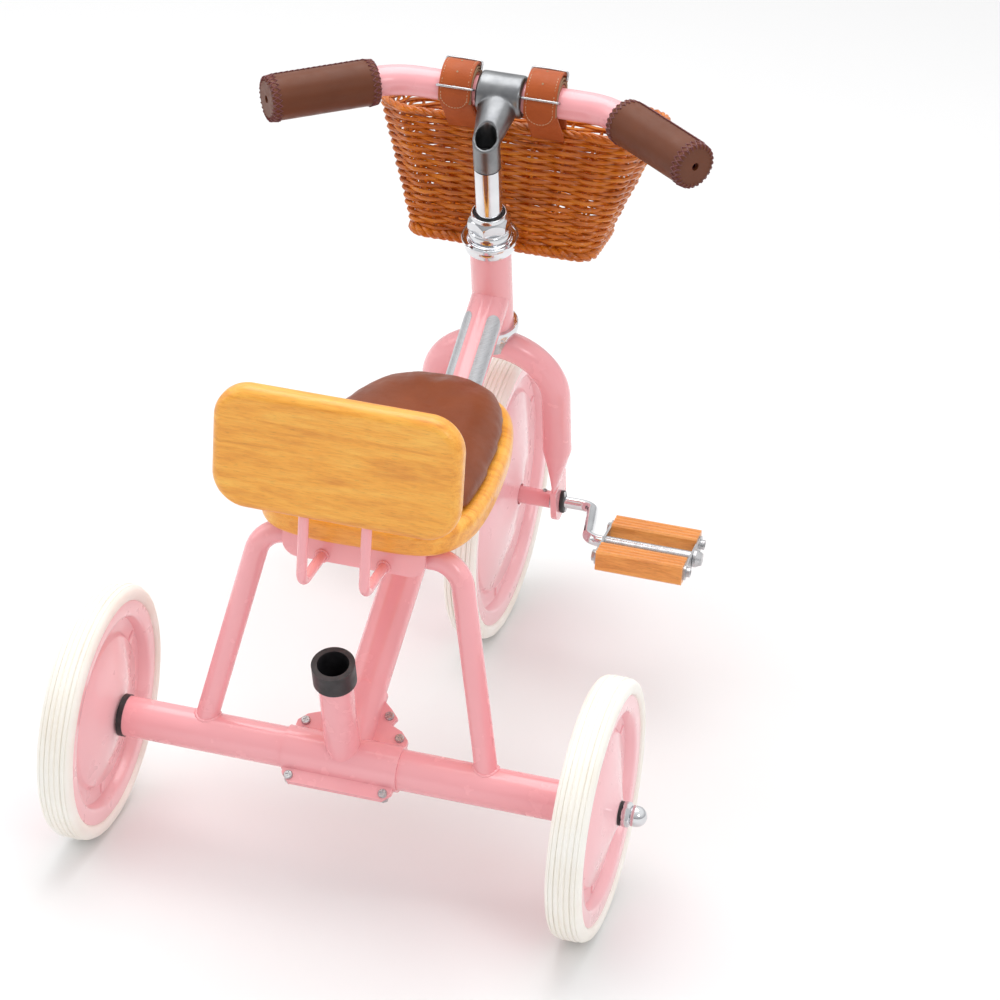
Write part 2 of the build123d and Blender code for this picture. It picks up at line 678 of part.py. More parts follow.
def crank_axle():
    """Solid axle bent into a crank arm and a pedal spindle on each side."""
    points = [(-CRANK_THROW, SPINDLE_START_Y, 0), (-CRANK_THROW, ARM_OUTER_Y, 0), (0, ARM_INNER_Y, 0),
              (0, -ARM_INNER_Y, 0), (CRANK_THROW, -ARM_OUTER_Y, 0), (CRANK_THROW, -SPINDLE_START_Y, 0)]
    body = bent_bar(points, CRANK_BEND, CRANK_R)
    end_y = PEDAL_INNER_Y + PEDAL_LEN + PLATE_T
    for side in SIDES:
        spindle = cross_rod(SPINDLE_R, side * SPINDLE_START_Y, side * end_y)
        body += Pos(-side * CRANK_THROW, 0, 0) * spindle
    return CRANK_PLACE * body


def hub_sleeve():
    """Sleeve through the front hub that locks the wheel to the axle."""
    body = cross_ring(SLEEVE_R, CRANK_R, -SLEEVE_END_Y, SLEEVE_END_Y)
    body -= Pos(0, -SET_SCREW_Y, 0) * rod(SET_SCREW_R, 2 * SLEEVE_R)
    return Pos(WHEELBASE, 0, FRONT_TYRE_R) * body


def set_screw():
    """Set screw on top of the hub sleeve."""
    body = rod(SET_SCREW_R, SET_SCREW_H, CRANK_R)
    body -= hex_prism(SET_SCREW_R, SET_SCREW_H / 2, CRANK_R + SET_SCREW_H / 2)
    return Pos(WHEELBASE, -SET_SCREW_Y, FRONT_TYRE_R) * body


# ---- pedals, made lying along Y from their inner end at y = 0 outwards
def pedal_place(side):
    """Where one pedal's inner end sits, with +Y outwards along the spindle."""
    turn = radians(CRANK_ANGLE)
    x = WHEELBASE - side * CRANK_THROW * cos(turn)
    z = FRONT_TYRE_R - side * CRANK_THROW * sin(turn)
    flip = Rot(0, 0, 0) if side > 0 else Rot(0, 0, 180)
    return Pos(x, side * PEDAL_INNER_Y, z) * flip


BLOCK_LEN = PEDAL_LEN - 2 * PLATE_T


def pedal_blocks(side):
    """Two wooden tread blocks with notched top and bottom."""
    block = Pos(0, PEDAL_LEN / 2, 0) * Box(BLOCK_W, BLOCK_LEN, BLOCK_H)
    block = chamfer(block.edges().filter_by(Axis.Y), BLOCK_EDGE)
    for row in (-1, 0, 1):
        for face in SIDES:
            notch = Rot(0, 45, 0) * Box(NOTCH_W, 2 * BLOCK_LEN + BLOCK_W, NOTCH_W)
            block -= Pos(row * NOTCH_PITCH, PEDAL_LEN / 2, face * BLOCK_H / 2) * notch
    block -= cross_rod(PEDAL_BOLT_R, 0, PEDAL_LEN)
    place = pedal_place(side)
    return Compound([place * Pos(end * BLOCK_SPACING / 2, 0, 0) * block for end in SIDES])


def pedal_frame(side):
    """Tube on the spindle with a plate across each end."""
    bore = SPINDLE_R + FIT_GAP
    plate_w = BLOCK_SPACING + PEDAL_PLATE_H
    body = cross_rod(PEDAL_TUBE_R, 0, PEDAL_LEN)
    for y in (PLATE_T / 2, PEDAL_LEN - PLATE_T / 2):
        plate = Pos(0, y, 0) * Box(plate_w, PLATE_T, PEDAL_PLATE_H)
        body += fillet(plate.edges().filter_by(Axis.Y), PEDAL_PLATE_H / 3)
    body -= cross_rod(bore, 0, PEDAL_LEN)
    for end in SIDES:
        body -= Pos(end * BLOCK_SPACING / 2, 0, 0) * cross_rod(PEDAL_BOLT_R, 0, PEDAL_LEN)
    return pedal_place(side) * body


def pedal_bolts(side):
    """Long bolts through the blocks, heads outside, nuts inside."""
    bolt = cross_rod(PEDAL_BOLT_R, -PEDAL_NUT_T, PEDAL_LEN)
    bolt += cross_rod(PEDAL_HEAD_R, PEDAL_LEN, PEDAL_LEN + PEDAL_HEAD_H)
    bolt += Pos(0, -PEDAL_NUT_T, 0) * Rot(-90, 0, 0) * hex_prism(2 * PEDAL_HEAD_R, PEDAL_NUT_T)
    socket = Pos(0, PEDAL_LEN + PEDAL_HEAD_H / 2, 0) * Rot(-90, 0, 0) * hex_prism(PEDAL_HEAD_R, PEDAL_HEAD_H)
    bolt -= socket
    place = pedal_place(side)
    return Compound([place * Pos(end * BLOCK_SPACING / 2, 0, 0) * bolt for end in SIDES])


def pedal_cap(side):
    """Conical cap nut on the spindle end."""
    low = PEDAL_LEN + BODY_GAP
    body = rod(PEDAL_CAP_R, PEDAL_CAP_H / 3)
    body += Pos(0, 0, PEDAL_CAP_H * 2 / 3) * Cone(PEDAL_CAP_R, PEDAL_CAP_R * 2 / 3, PEDAL_CAP_H * 2 / 3)
    body -= rod(SPINDLE_R + FIT_GAP, PLATE_T - BODY_GAP)
    return pedal_place(side) * Pos(0, low, 0) * Rot(-90, 0, 0) * body


# ---- stem and handlebar
def quill():
    """Polished lower part of the stem inside the steerer."""
    return STEER_FRAME * ring(QUILL_R, QUILL_BORE_R, QUILL_JOINT - QUILL_LOW, QUILL_LOW)


def stem_head():
    """Cast stem head: upright barrel cut on the slant, neck and handlebar clamp."""
    body = rod(QUILL_R, STEM_TOP - QUILL_JOINT, QUILL_JOINT)
    cut = Pos(-QUILL_R, 0, STEM_TOP - NECK_H) * Rot(0, -STEM_CUT_TILT, 0)
    body -= cut * Pos(0, 0, NECK_H) * Box(8 * QUILL_R, 4 * QUILL_R, 2 * NECK_H)
    start_plane = Plane(origin=(0, 0, CLAMP_HIGH - NECK_H / 2), z_dir=(1, 0, 0))
    neck_start = start_plane * Ellipse(NECK_H / 2, QUILL_R)
    end_plane = Plane(origin=(STEM_REACH, 0, CLAMP_HIGH), z_dir=(1, 0, 0))
    neck_end = end_plane * Ellipse(NECK_H * 2 / 3, CLAMP_HALF)
    body += loft([neck_start, neck_end])
    barrel = Pos(STEM_REACH, 0, CLAMP_HIGH) * cross_rod(CLAMP_R, -CLAMP_HALF, CLAMP_HALF)
    body += chamfer(barrel.edges().filter_by(GeomType.CIRCLE), CLAMP_SLOT)
    body -= rod(PLUG_R, STEM_TOP, QUILL_JOINT + PLUG_H)
    body -= rod(PLUG_R - PLUG_DEPTH, STEM_TOP, QUILL_JOINT)
    body -= Pos(STEM_REACH, 0, CLAMP_HIGH) * cross_rod(BAR_R, -2 * CLAMP_HALF, 2 * CLAMP_HALF)
    slot = Box(CLAMP_SLOT, 4 * CLAMP_HALF, 2 * CLAMP_R)
    body -= Pos(STEM_REACH, 0, CLAMP_HIGH - CLAMP_R) * slot
    body -= clamp_bolt_local()
    return STEER_FRAME * body


def clamp_bolt_local():
    """Clamp bolt under the handlebar, before it is placed on the bicycle axis."""
    low = CLAMP_HIGH - (BAR_R + CLAMP_R) / 2
    start = STEM_REACH - CLAMP_R * 2 / 3
    body = Pos(start, 0, low) * Rot(0, 90, 0) * rod(CLAMP_BOLT_R / 2, CLAMP_R * 4 / 3)
    return body


def clamp_bolt():
    """Clamp bolt under the handlebar."""
    return STEER_FRAME * clamp_bolt_local()


def stem_plug():
    """Plastic plug in the slanted mouth of the stem."""
    body = rod(PLUG_R, PLUG_H, QUILL_JOINT + PLUG_H)
    return STEER_FRAME * fillet(body.faces().sort_by(Axis.Z)[-1].edges(), PLUG_H / 4)


def stem_expander():
    """Bolt down the middle of the quill and the wedge it pulls against the steerer."""
    bolt = rod(STEM_BOLT_R, QUILL_JOINT - QUILL_LOW + WEDGE_H, QUILL_LOW - WEDGE_H)
    bolt += rod(PLUG_R - PLUG_DEPTH, PLUG_H / 2, QUILL_JOINT)
    wedge = ring(QUILL_R, STEM_BOLT_R, WEDGE_H, QUILL_LOW - WEDGE_H)
    return Compound([STEER_FRAME * bolt, STEER_FRAME * wedge])


def bar_points(short=0.0):
    """Corner points of the handlebar from left end to right end; short trims both ends."""
    corner = Vector(BAR_X, BAR_CORNER_Y, BAR_Z)
    tip = Vector(*GRIP_END)
    tip = tip + (corner - tip).normalized() * short
    left = [tip, corner]
    return [(p.X, p.Y, p.Z) for p in left] + [(p.X, -p.Y, p.Z) for p in reversed(left)]


def handlebar():
    """Swept-back handlebar tube."""
    return bent_bar(bar_points(GRIP_CAP), BAR_BEND, BAR_R, BAR_R - BAR_WALL)


def grip(side):
    """Closed leather grip over one end of the handlebar."""
    tip = Vector(GRIP_END[0], side * GRIP_END[1], GRIP_END[2])
    corner = Vector(BAR_X, side * BAR_CORNER_Y, BAR_Z)
    place = Plane(origin=tip, z_dir=corner - tip)
    body = rod(GRIP_R, GRIP_LEN)
    body = fillet(body.edges().filter_by(GeomType.CIRCLE), GRIP_EDGE)
    body -= rod(BAR_R, GRIP_LEN, GRIP_CAP)
    body -= rod(GRIP_VENT_R, GRIP_CAP)
    return place.location * body


# ---- basket, straps and buckles
def basket_section(high, inset):
    """Rounded plan of the basket at one height."""
    share = (high - BASKET_BASE_Z) / (BASKET_RIM_Z - BASKET_BASE_Z)
    depth = BASKET_BASE_DEPTH + share * (BASKET_TOP_DEPTH - BASKET_BASE_DEPTH)
    half = BASKET_BASE_HALF + share * (BASKET_TOP_HALF - BASKET_BASE_HALF)
    corner = BASKET_BASE_CORNER + share * (BASKET_TOP_CORNER - BASKET_BASE_CORNER)
    back = BASKET_BACK_X + (1 - share) * BASKET_BASE_SET
    plan = RectangleRounded(depth - 2 * inset, 2 * (half - inset), corner - inset)
    return Pos(back + depth / 2, 0, high) * plan


def strap_hull(grow):
    """Outline round the handlebar and the basket's back rim, grown outwards, in the XZ plane."""
    hook_x = BASKET_BACK_X + BASKET_T / 2
    bar = Pos(BAR_X, BAR_Z) * Circle(BAR_R + grow)
    hook = Pos(hook_x, STRAP_HOOK_Z) * Circle(STRAP_HOOK_R + grow)
    return make_hull(bar.edges() + hook.edges())


def strap_loop(y, grow_in, grow_out):
    """Band of the strap's width between two grown outlines."""
    face = strap_hull(grow_out) - strap_hull(grow_in)
    return Pos(0, y, 0) * extrude(Plane.XZ * face, STRAP_W / 2, both=True)


def basket():
    """Open wicker basket with slots where the straps pass through its back."""
    body = loft([basket_section(BASKET_BASE_Z, 0), basket_section(BASKET_RIM_Z, 0)])
    floor = basket_section(BASKET_BASE_Z + BASKET_T, BASKET_T)
    body -= loft([floor, basket_section(BASKET_RIM_Z, BASKET_T)])
    for y in STRAP_Y:
        body -= strap_loop(y, 0, STRAP_T)
    return body.solids().sort_by(SortBy.VOLUME)[-1]


def strap(y):
    """Leather strap round handlebar and basket rim, with its free end laid over the back."""
    body = strap_loop(y, 0, STRAP_T)
    inner = BAR_R + STRAP_T
    wrap = Circle(inner + FLAP_T) - Circle(inner)
    keep = Pos(-inner, inner / 2) * Rectangle(2 * inner, 3 * inner)
    tail_x = -inner - FLAP_T / 2
    flap = (wrap & keep) - Pos(0, -inner) * Rectangle(4 * inner, 2 * inner)
    flap += Pos(tail_x, -FLAP_TAIL / 2) * Rectangle(FLAP_T, FLAP_TAIL)
    body += Pos(BAR_X, y, BAR_Z) * extrude(Plane.XZ * flap, STRAP_W / 2, both=True)
    return body


def buckle(y):
    """Two wire keepers across one strap."""
    wires = []
    thick = STRAP_T + FLAP_T
    mid_r = BAR_R + thick / 2 + BUCKLE_WIRE_R
    long = STRAP_W + 2 * BUCKLE_MARGIN
    for angle in BUCKLE_ANGLES:
        top = Pos(0, 0, thick / 2 + BUCKLE_WIRE_R) * cross_rod(BUCKLE_WIRE_R, -long / 2, long / 2)
        leg = rod(BUCKLE_WIRE_R, thick, -thick / 2 + BUCKLE_WIRE_R)
        sides = [Pos(0, s * long / 2, 0) * leg for s in SIDES]
        turn = Pos(BAR_X, y, BAR_Z) * Rot(0, 90 - angle, 0)
        wires.append(turn * Pos(0, 0, mid_r) * (top + sides[0] + sides[1]))
    return Compound(wires)


# ---- seat, arch and backrest
def seat_arch():
    """Bent tube standing on the rear cross tube that carries the seat."""
    def arch_x(high):
        return (high - REAR_TYRE_R) * ARCH_LEAN

    foot = (arch_x(REAR_TYRE_R), ARCH_FOOT_Y, REAR_TYRE_R)
    top = (arch_x(ARCH_TOP_Z), ARCH_FOOT_Y + (ARCH_TOP_Y - ARCH_FOOT_Y), ARCH_TOP_Z)
    points = [foot, top, (top[0], -top[1], top[2]), (foot[0], -foot[1], foot[2])]
    body = bent_bar(points, ARCH_BEND, ARCH_R, ARCH_R - ARCH_WALL)
    body -= REAR_AXLE * cross_rod(AXLE_TUBE_R, -2 * ARCH_FOOT_Y, 2 * ARCH_FOOT_Y)
    return body.solids().sort_by(SortBy.VOLUME)[-1]


ARCH_TOP_X = (ARCH_TOP_Z - REAR_TYRE_R) * ARCH_LEAN


def seat_plate():
    """Steel plate under the seat with a flange bent down at the back."""
    wide_to = ARCH_TOP_X + 2 * ARCH_R
    outline = [
        (PLATE_BACK_X, PLATE_HALF), (wide_to, PLATE_HALF), (PLATE_FRONT_X, PLATE_FRONT_HALF),
        (PLATE_FRONT_X, -PLATE_FRONT_HALF), (wide_to, -PLATE_HALF), (PLATE_BACK_X, -PLATE_HALF),
    ]
    body = extrude(make_face(Polyline(*outline, close=True)), SEAT_PLATE_T)
    body = Pos(0, 0, PLATE_TOP_Z - SEAT_PLATE_T) * body
    flange_h = PLATE_TOP_Z - PLATE_FLANGE_LOW
    flange_place = Pos(PLATE_BACK_X + SEAT_PLATE_T / 2, 0, PLATE_TOP_Z - flange_h / 2)
    flange = flange_place * Box(SEAT_PLATE_T, 2 * PLATE_HALF, flange_h)
    low_corners = flange.edges().filter_by(Axis.X).group_by(Axis.Z)[0]
    body += fillet(low_corners, PLATE_CORNER)
    for x, y in SEAT_SCREW_SPOTS:
        for side in SIDES:
            body -= Pos(x, side * y, PLATE_TOP_Z) * Cylinder(SEAT_SCREW_R, 4 * SEAT_PLATE_T)
    return body


def seat_gusset():
    """Upright web between the main tube and the front of the seat plate."""
    length = PLATE_FRONT_X - GUSSET_BACK_X
    low = REAR_TYRE_R + GUSSET_BACK_X * tan(radians(MAIN_RISE))
    height = PLATE_TOP_Z - SEAT_PLATE_T - low
    body = Pos(GUSSET_BACK_X + length / 2, 0, low + height / 2) * Box(length, GUSSET_T, height)
    body -= CLAMP_FRAME * Rot(0, 90, 0) * rod(MAIN_TUBE_R, WHEELBASE)
    return body.solids().sort_by(Axis.Z)[-1]


def backrest_rods():
    """Two bent rods from the rear flange up into the backrest board."""
    bars = []
    for side in SIDES:
        points = [(PLATE_BACK_X, side * ROD_Y, ROD_Z), (ROD_BACK_X, side * ROD_Y, ROD_Z),
                  (ROD_BACK_X, side * ROD_Y, ROD_TOP_Z)]
        bars.append(bent_bar(points, ROD_BEND, ROD_R))
    return Compound(bars)


def backrest_board():
    """Thick rounded board with blind holes for the rods."""
    high = BACK_BOARD_HIGH - BACK_BOARD_LOW
    plan = RectangleRounded(2 * BACK_BOARD_HALF, high, BACK_BOARD_CORNER)
    body = extrude(plan, BACK_BOARD_T / 2, both=True)
    body = fillet(body.faces().filter_by(Axis.Z).edges(), BACK_BOARD_EDGE)
    body = Pos(ROD_BACK_X, 0, BACK_BOARD_LOW + high / 2) * Plane.YZ.location * body
    for side in SIDES:
        hole = rod(ROD_R, ROD_TOP_Z - BACK_BOARD_LOW + BACK_BOARD_EDGE, BACK_BOARD_LOW - BACK_BOARD_EDGE)
        body -= Pos(ROD_BACK_X, side * ROD_Y, 0) * hole
    return body


def seat_outline(inset):
    """Closed rounded seat plan, wide at the back and narrower at the front, shrunk by inset."""
    mid = (SEAT_BACK_X + SEAT_FRONT_X) / 2
    keep_x = 1 - 2 * inset / (SEAT_FRONT_X - SEAT_BACK_X)
    keep_y = 1 - inset / max(w for x, w in SEAT_HALF_WIDTHS)
    left = [(mid + (x - mid) * keep_x, w * keep_y) for x, w in SEAT_HALF_WIDTHS]
    back = (mid + (SEAT_BACK_X - mid) * keep_x, 0)
    front = (mid + (SEAT_FRONT_X - mid) * keep_x, 0)
    points = [back] + left + [front] + [(x, -w) for x, w in reversed(left)]
    return make_face(Spline(*points, periodic=True))


def seat_board():
    """Wooden seat board with rounded edges."""
    body = extrude(seat_outline(0), SEAT_BOARD_T)
    body = fillet(body.faces().filter_by(Axis.Z).edges(), SEAT_BOARD_EDGE)
    body = Pos(0, 0, PLATE_TOP_Z) * body
    for x, y in SEAT_SCREW_SPOTS:
        for side in SIDES:
            body -= Pos(x, side * y, PLATE_TOP_Z) * rod(SEAT_SCREW_R, SEAT_SCREW_BITE)
    return body


def seat_cushion():
    """Padded seat top on the board."""
    body = extrude(seat_outline(CUSHION_INSET), CUSHION_T)
    body = fillet(body.faces().sort_by(Axis.Z)[-1].edges(), CUSHION_EDGE)
    return Pos(0, 0, PLATE_TOP_Z + SEAT_BOARD_T) * body


def seat_screws():
    """Four screws from below through the seat plate into the board."""
    low = PLATE_TOP_Z - SEAT_PLATE_T
    one = rod(SEAT_SCREW_R, SEAT_PLATE_T + SEAT_SCREW_BITE, low)
    one += rod(SEAT_SCREW_HEAD_R, SEAT_SCREW_HEAD_H, low - SEAT_SCREW_HEAD_H)
    spots = [(x, s * y) for x, y in SEAT_SCREW_SPOTS for s in SIDES]
    return Compound([Pos(x, y, 0) * one for x, y in spots])


def collect():
    """Every node of the tricycle by name."""
    parts = {
        "head_tube": head_tube(), "main_tube": main_tube(), "rear_axle_tube": rear_axle_tube(),
        "rear_axle_rod": rear_axle_rod(), "clamp_shell_upper": clamp_shell(1),
        "clamp_shell_lower": clamp_shell(-1),
        "clamp_fasteners": Compound(list(clamp_screws().solids()) + list(clamp_nuts().solids())),
        "push_bar_socket": push_bar_socket(),
        "socket_collar": socket_collar(), "lower_cup": lower_cup(), "upper_cup": upper_cup(),
        "headset_balls": Compound([ball_ring(LOWER_BALLS_Z), ball_ring(UPPER_BALLS_Z)]),
        "seat_arch": seat_arch(), "seat_plate": seat_plate(), "seat_gusset": seat_gusset(),
        "seat_board": seat_board(), "seat_cushion": seat_cushion(), "seat_screws": seat_screws(),
        "backrest_rods": backrest_rods(), "backrest_board": backrest_board(),
        "crown_race": crown_race(), "adjusting_cone": adjusting_cone(),
        "locknut": Compound([lock_washer(), locknut()]), "steerer": steerer(), "fork": fork(),
        "bearing_screws": bearing_screws(),
        "quill": quill(), "stem_head": stem_head(), "clamp_bolt": clamp_bolt(), "stem_plug": stem_plug(),
        "stem_expander": stem_expander(), "handlebar": handlebar(), "basket": basket(),
        "crank_axle": crank_axle(), "hub_sleeve": hub_sleeve(), "set_screw": set_screw(),
    }
    parts["front_tyre"], parts["front_disc"] = front_wheel()
    for side, name in zip(SIDES, ("left", "right")):
        wheel = rear_wheel(side)
        for label, shape in zip(("rear_tyre", "rear_disc", "rear_hub_bush"), wheel):
            parts[f"{name}_{label}"] = shape
        parts[f"{name}_pedal_blocks"] = pedal_blocks(side)
        parts[f"{name}_pedal_frame"] = pedal_frame(side)
        parts[f"{name}_pedal_hardware"] = Compound(list(pedal_bolts(side).solids()) + [pedal_cap(side)])
        parts[f"{name}_grip"] = grip(side)
        parts[f"{name}_strap"] = strap(side * STRAP_Y[0])
    parts["buckles"] = Compound([s for y in STRAP_Y for s in buckle(y).solids()])
    parts["axle_end_bushes"] = Compound([axle_end_bush(s) for s in SIDES])
    parts["axle_washers"] = Compound([axle_washer(s) for s in SIDES])
    parts["axle_nuts"] = Compound([nut(s) for nut in (axle_hex_nut, axle_dome_nut) for s in SIDES])
    parts["axle_bearings"] = Compound([axle_bearing(s) for s in SIDES])
    parts["tube_strips"] = Compound([s for side in SIDES for s in tube_strip(side).solids()])
    return parts


for node, shape in collect().items():
    export_step(Pos(-MID_X, 0, 0) * shape, f"parts/{node}.step")
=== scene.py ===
# Children's tricycle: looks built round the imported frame. Metres, X forward, Y left, Z up.
import json
from math import acos, asin, atan2, cos, hypot, pi, radians, sin, sqrt
from random import Random

import bpy
from mathutils import Matrix, Vector


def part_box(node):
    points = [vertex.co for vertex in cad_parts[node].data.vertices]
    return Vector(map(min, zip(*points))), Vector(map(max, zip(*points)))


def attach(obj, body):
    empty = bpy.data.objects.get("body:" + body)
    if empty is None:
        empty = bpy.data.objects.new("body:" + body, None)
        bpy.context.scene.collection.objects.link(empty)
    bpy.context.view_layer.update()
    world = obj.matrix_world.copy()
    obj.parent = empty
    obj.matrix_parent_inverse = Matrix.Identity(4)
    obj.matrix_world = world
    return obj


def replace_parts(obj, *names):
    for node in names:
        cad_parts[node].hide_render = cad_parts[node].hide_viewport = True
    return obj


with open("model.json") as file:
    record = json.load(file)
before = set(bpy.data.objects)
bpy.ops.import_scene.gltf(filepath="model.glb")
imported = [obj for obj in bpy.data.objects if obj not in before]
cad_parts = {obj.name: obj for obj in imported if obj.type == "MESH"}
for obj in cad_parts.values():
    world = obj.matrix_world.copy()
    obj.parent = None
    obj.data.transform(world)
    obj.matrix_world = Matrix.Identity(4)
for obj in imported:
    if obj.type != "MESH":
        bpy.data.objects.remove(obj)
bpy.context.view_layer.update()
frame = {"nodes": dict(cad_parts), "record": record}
MM = 0.001
AXLE_TO_MIDDLE = 231.0


def at(x, y, z):
    """Place given in millimetres from the rear axle line, as a point in the shared frame."""
    return Vector(((x - AXLE_TO_MIDDLE) * MM, y * MM, z * MM))


# ---- camera, floor and light
CAMERA_PLACE = Vector((-2.5395, -0.6918, 1.5487))
LOOK = Vector((0.86614, 0.21677, -0.45034))
ROLL = 0.06605
LENS = 131.03
SENSOR_WIDTH = 36
FAR_CLIP = 60
SHIFT = (-0.0057, -0.0012)
FLOOR_SIDE, FLOOR_DROP = 40, 0.0003
AIR_STRENGTH = 1.05
WHITE, LOW_AIR, REAR_AIR = (1, 1, 1), (0.45, 0.45, 0.46), (0.70, 0.70, 0.71)


def set_camera():
    level = LOOK.cross(Vector((0, 0, 1))).normalized()
    upright = level.cross(LOOK)
    right = cos(ROLL) * level + sin(ROLL) * upright
    up = cos(ROLL) * upright - sin(ROLL) * level
    camera = bpy.data.objects.new("studio_camera", bpy.data.cameras.new("studio_camera"))
    bpy.context.collection.objects.link(camera)
    turn = Matrix((right, up, -LOOK)).transposed().to_4x4()
    camera.matrix_world = Matrix.Translation(CAMERA_PLACE) @ turn
    camera.data.lens = LENS
    camera.data.sensor_width = SENSOR_WIDTH
    camera.data.clip_end = FAR_CLIP
    camera.data.shift_x, camera.data.shift_y = SHIFT
    bpy.context.scene.camera = camera


def softbox(name, place, aim, size, power):
    light = bpy.data.objects.new(name, bpy.data.lights.new(name, "AREA"))
    bpy.context.collection.objects.link(light)
    light.data.shape = "RECTANGLE"
    light.data.size, light.data.size_y = size
    light.data.energy = power
    light.location = place
    light.rotation_euler = (Vector(aim) - Vector(place)).to_track_quat("-Z", "Y").to_euler()


def set_floor():
    bpy.ops.mesh.primitive_plane_add(size=FLOOR_SIDE, location=(0, 0, -FLOOR_DROP))
    floor = bpy.context.object
    floor.name = "studio_floor"
    floor.data.materials.append(plain_floor())


def set_air():
    """White air that dims towards the floor and towards the rear."""
    world = bpy.data.worlds.new("studio_air")
    bpy.context.scene.world = world
    world.use_nodes = True
    air = world.node_tree.nodes["Background"]
    air.inputs["Strength"].default_value = AIR_STRENGTH
    parts = node(world, "SeparateXYZ")
    join(world, node(world, "TexCoord").outputs["Generated"], parts.inputs["Vector"])
    forward = node(world, "Math")
    forward.operation = "MULTIPLY_ADD"
    forward.inputs[1].default_value = 0.5
    forward.inputs[2].default_value = 0.5
    join(world, parts.outputs["X"], forward.inputs[0])
    rising = ramp(world, parts.outputs["Z"], ((0, LOW_AIR), (0.55, WHITE)))
    lengthways = ramp(world, forward.outputs["Value"], ((0.12, REAR_AIR), (0.38, WHITE)))
    join(world, mixed(world, 1.0, rising, lengthways, "MULTIPLY"), air.inputs["Color"])


def set_studio():
    set_floor()
    set_air()
    softbox("overhead_box", (0.35, 0.25, 2.3), (0, 0, 0.1), (1.5, 2.0), 24)
    softbox("left_box", (-0.6, 2.6, 1.5), (0, 0, 0.3), (1.2, 2.2), 9)
    softbox("near_box", (-2.2, -1.9, 2.2), (0, 0, 0.3), (1.0, 1.0), 11)
    bpy.context.scene.view_settings.view_transform = "Standard"


# ---- materials
def finish(name, base, rough, metal=0.0, coat=0.0, sheen=0.0, gloss=0.5):
    """New material with its constant values on the shader's own sockets."""
    made = bpy.data.materials.new(name)
    made.use_nodes = True
    shader = made.node_tree.nodes["Principled BSDF"]
    shader.inputs["Base Color"].default_value = (*base, 1)
    shader.inputs["Roughness"].default_value = rough
    shader.inputs["Metallic"].default_value = metal
    shader.inputs["Coat Weight"].default_value = coat
    shader.inputs["Specular IOR Level"].default_value = gloss
    shader.inputs["Coat Roughness"].default_value = 0.06
    shader.inputs["Sheen Weight"].default_value = sheen
    return made


def node(made, kind, **values):
    """Adds a node and sets its input sockets by name."""
    new = made.node_tree.nodes.new("ShaderNode" + kind)
    for socket, value in values.items():
        new.inputs[socket.replace("_", " ")].default_value = value
    return new


def join(made, source, target):
    made.node_tree.links.new(source, target)


def spot(made, stretch=(1, 1, 1)):
    """The surface's own coordinates, stretched."""
    coords = node(made, "TexCoord")
    mapping = node(made, "Mapping", Scale=stretch)
    join(made, coords.outputs["Object"], mapping.inputs["Vector"])
    return mapping.outputs["Vector"]


def cloud(made, where, scale, detail=3.0, distortion=0.0):
    new = node(made, "TexNoise", Scale=scale, Detail=detail, Distortion=distortion)
    join(made, where, new.inputs["Vector"])
    return new.outputs["Fac"]


def bands(made, where, scale, direction, distortion=0.0, detail_scale=1.0):
    new = node(made, "TexWave", Scale=scale, Distortion=distortion, Detail_Scale=detail_scale)
    new.bands_direction = direction
    join(made, where, new.inputs["Vector"])
    return new.outputs["Fac"]


def grains(made, where, scale):
    new = node(made, "TexVoronoi", Scale=scale)
    join(made, where, new.inputs["Vector"])
    return new.outputs["Distance"]


def ramp(made, factor, stops):
    """Colours (or greys) spread along a factor."""
    new = node(made, "ValToRGB")
    band = new.color_ramp
    while len(band.elements) < len(stops):
        band.elements.new(0.5)
    for element, (place, colour) in zip(band.elements, stops):
        element.position = place
        element.color = (*colour, 1) if len(colour) == 3 else (*colour * 3, 1)
    join(made, factor, new.inputs["Fac"])
    return new.outputs["Color"]


def mixed(made, factor, first, second, way="MIX"):
    new = node(made, "MixRGB")
    new.blend_type = way
    new.inputs["Fac"].default_value = factor if isinstance(factor, float) else 1.0
    if not isinstance(factor, float):
        join(made, factor, new.inputs["Fac"])
    for socket, value in (("Color1", first), ("Color2", second)):
        if isinstance(value, tuple):
            new.inputs[socket].default_value = (*value, 1)
        else:
            join(made, value, new.inputs[socket])
    return new.outputs["Color"]


def coloured(made, colour):
    join(made, colour, made.node_tree.nodes["Principled BSDF"].inputs["Base Color"])


def tinted(made, factor, low, high, stops=(0.3, 0.7)):
    """Base colour between two tones, spread along a factor."""
    coloured(made, ramp(made, factor, ((stops[0], low), (stops[1], high))))


def roughened(made, factor, low, high):
    grey = ramp(made, factor, ((0.3, (low,)), (0.7, (high,))))
    join(made, grey, made.node_tree.nodes["Principled BSDF"].inputs["Roughness"])


def relief(made, *layers):
    """Bump layers, each (height, strength, depth), one over the other."""
    below = None
    for height, strength, depth in layers:
        new = node(made, "Bump", Strength=strength, Distance=depth)
        join(made, height, new.inputs["Height"])
        if below:
            join(made, below, new.inputs["Normal"])
        below = new.outputs["Normal"]
    join(made, below, made.node_tree.nodes["Principled BSDF"].inputs["Normal"])


def plain_floor():
    made = finish("pale_floor", (0.82, 0.82, 0.82), 0.9)
    tinted(made, cloud(made, spot(made), 2.0), (0.815,), (0.83,), (0, 1))
    return made


def pink_coat(name, base, deep, rough):
    """Glossy pink with the faint orange peel of a sprayed or moulded skin."""
    made = finish(name, base, rough, coat=0.55)
    where = spot(made)
    tinted(made, cloud(made, where, 9.0), deep, base, (0.35, 0.65))
    roughened(made, cloud(made, where, 60.0), rough * 0.85, rough * 1.2)
    peel = cloud(made, where, 420.0, 2.0)
    waves = cloud(made, where, 40.0)
    relief(made, (peel, 0.05, 0.0004), (waves, 0.04, 0.002))
    return made


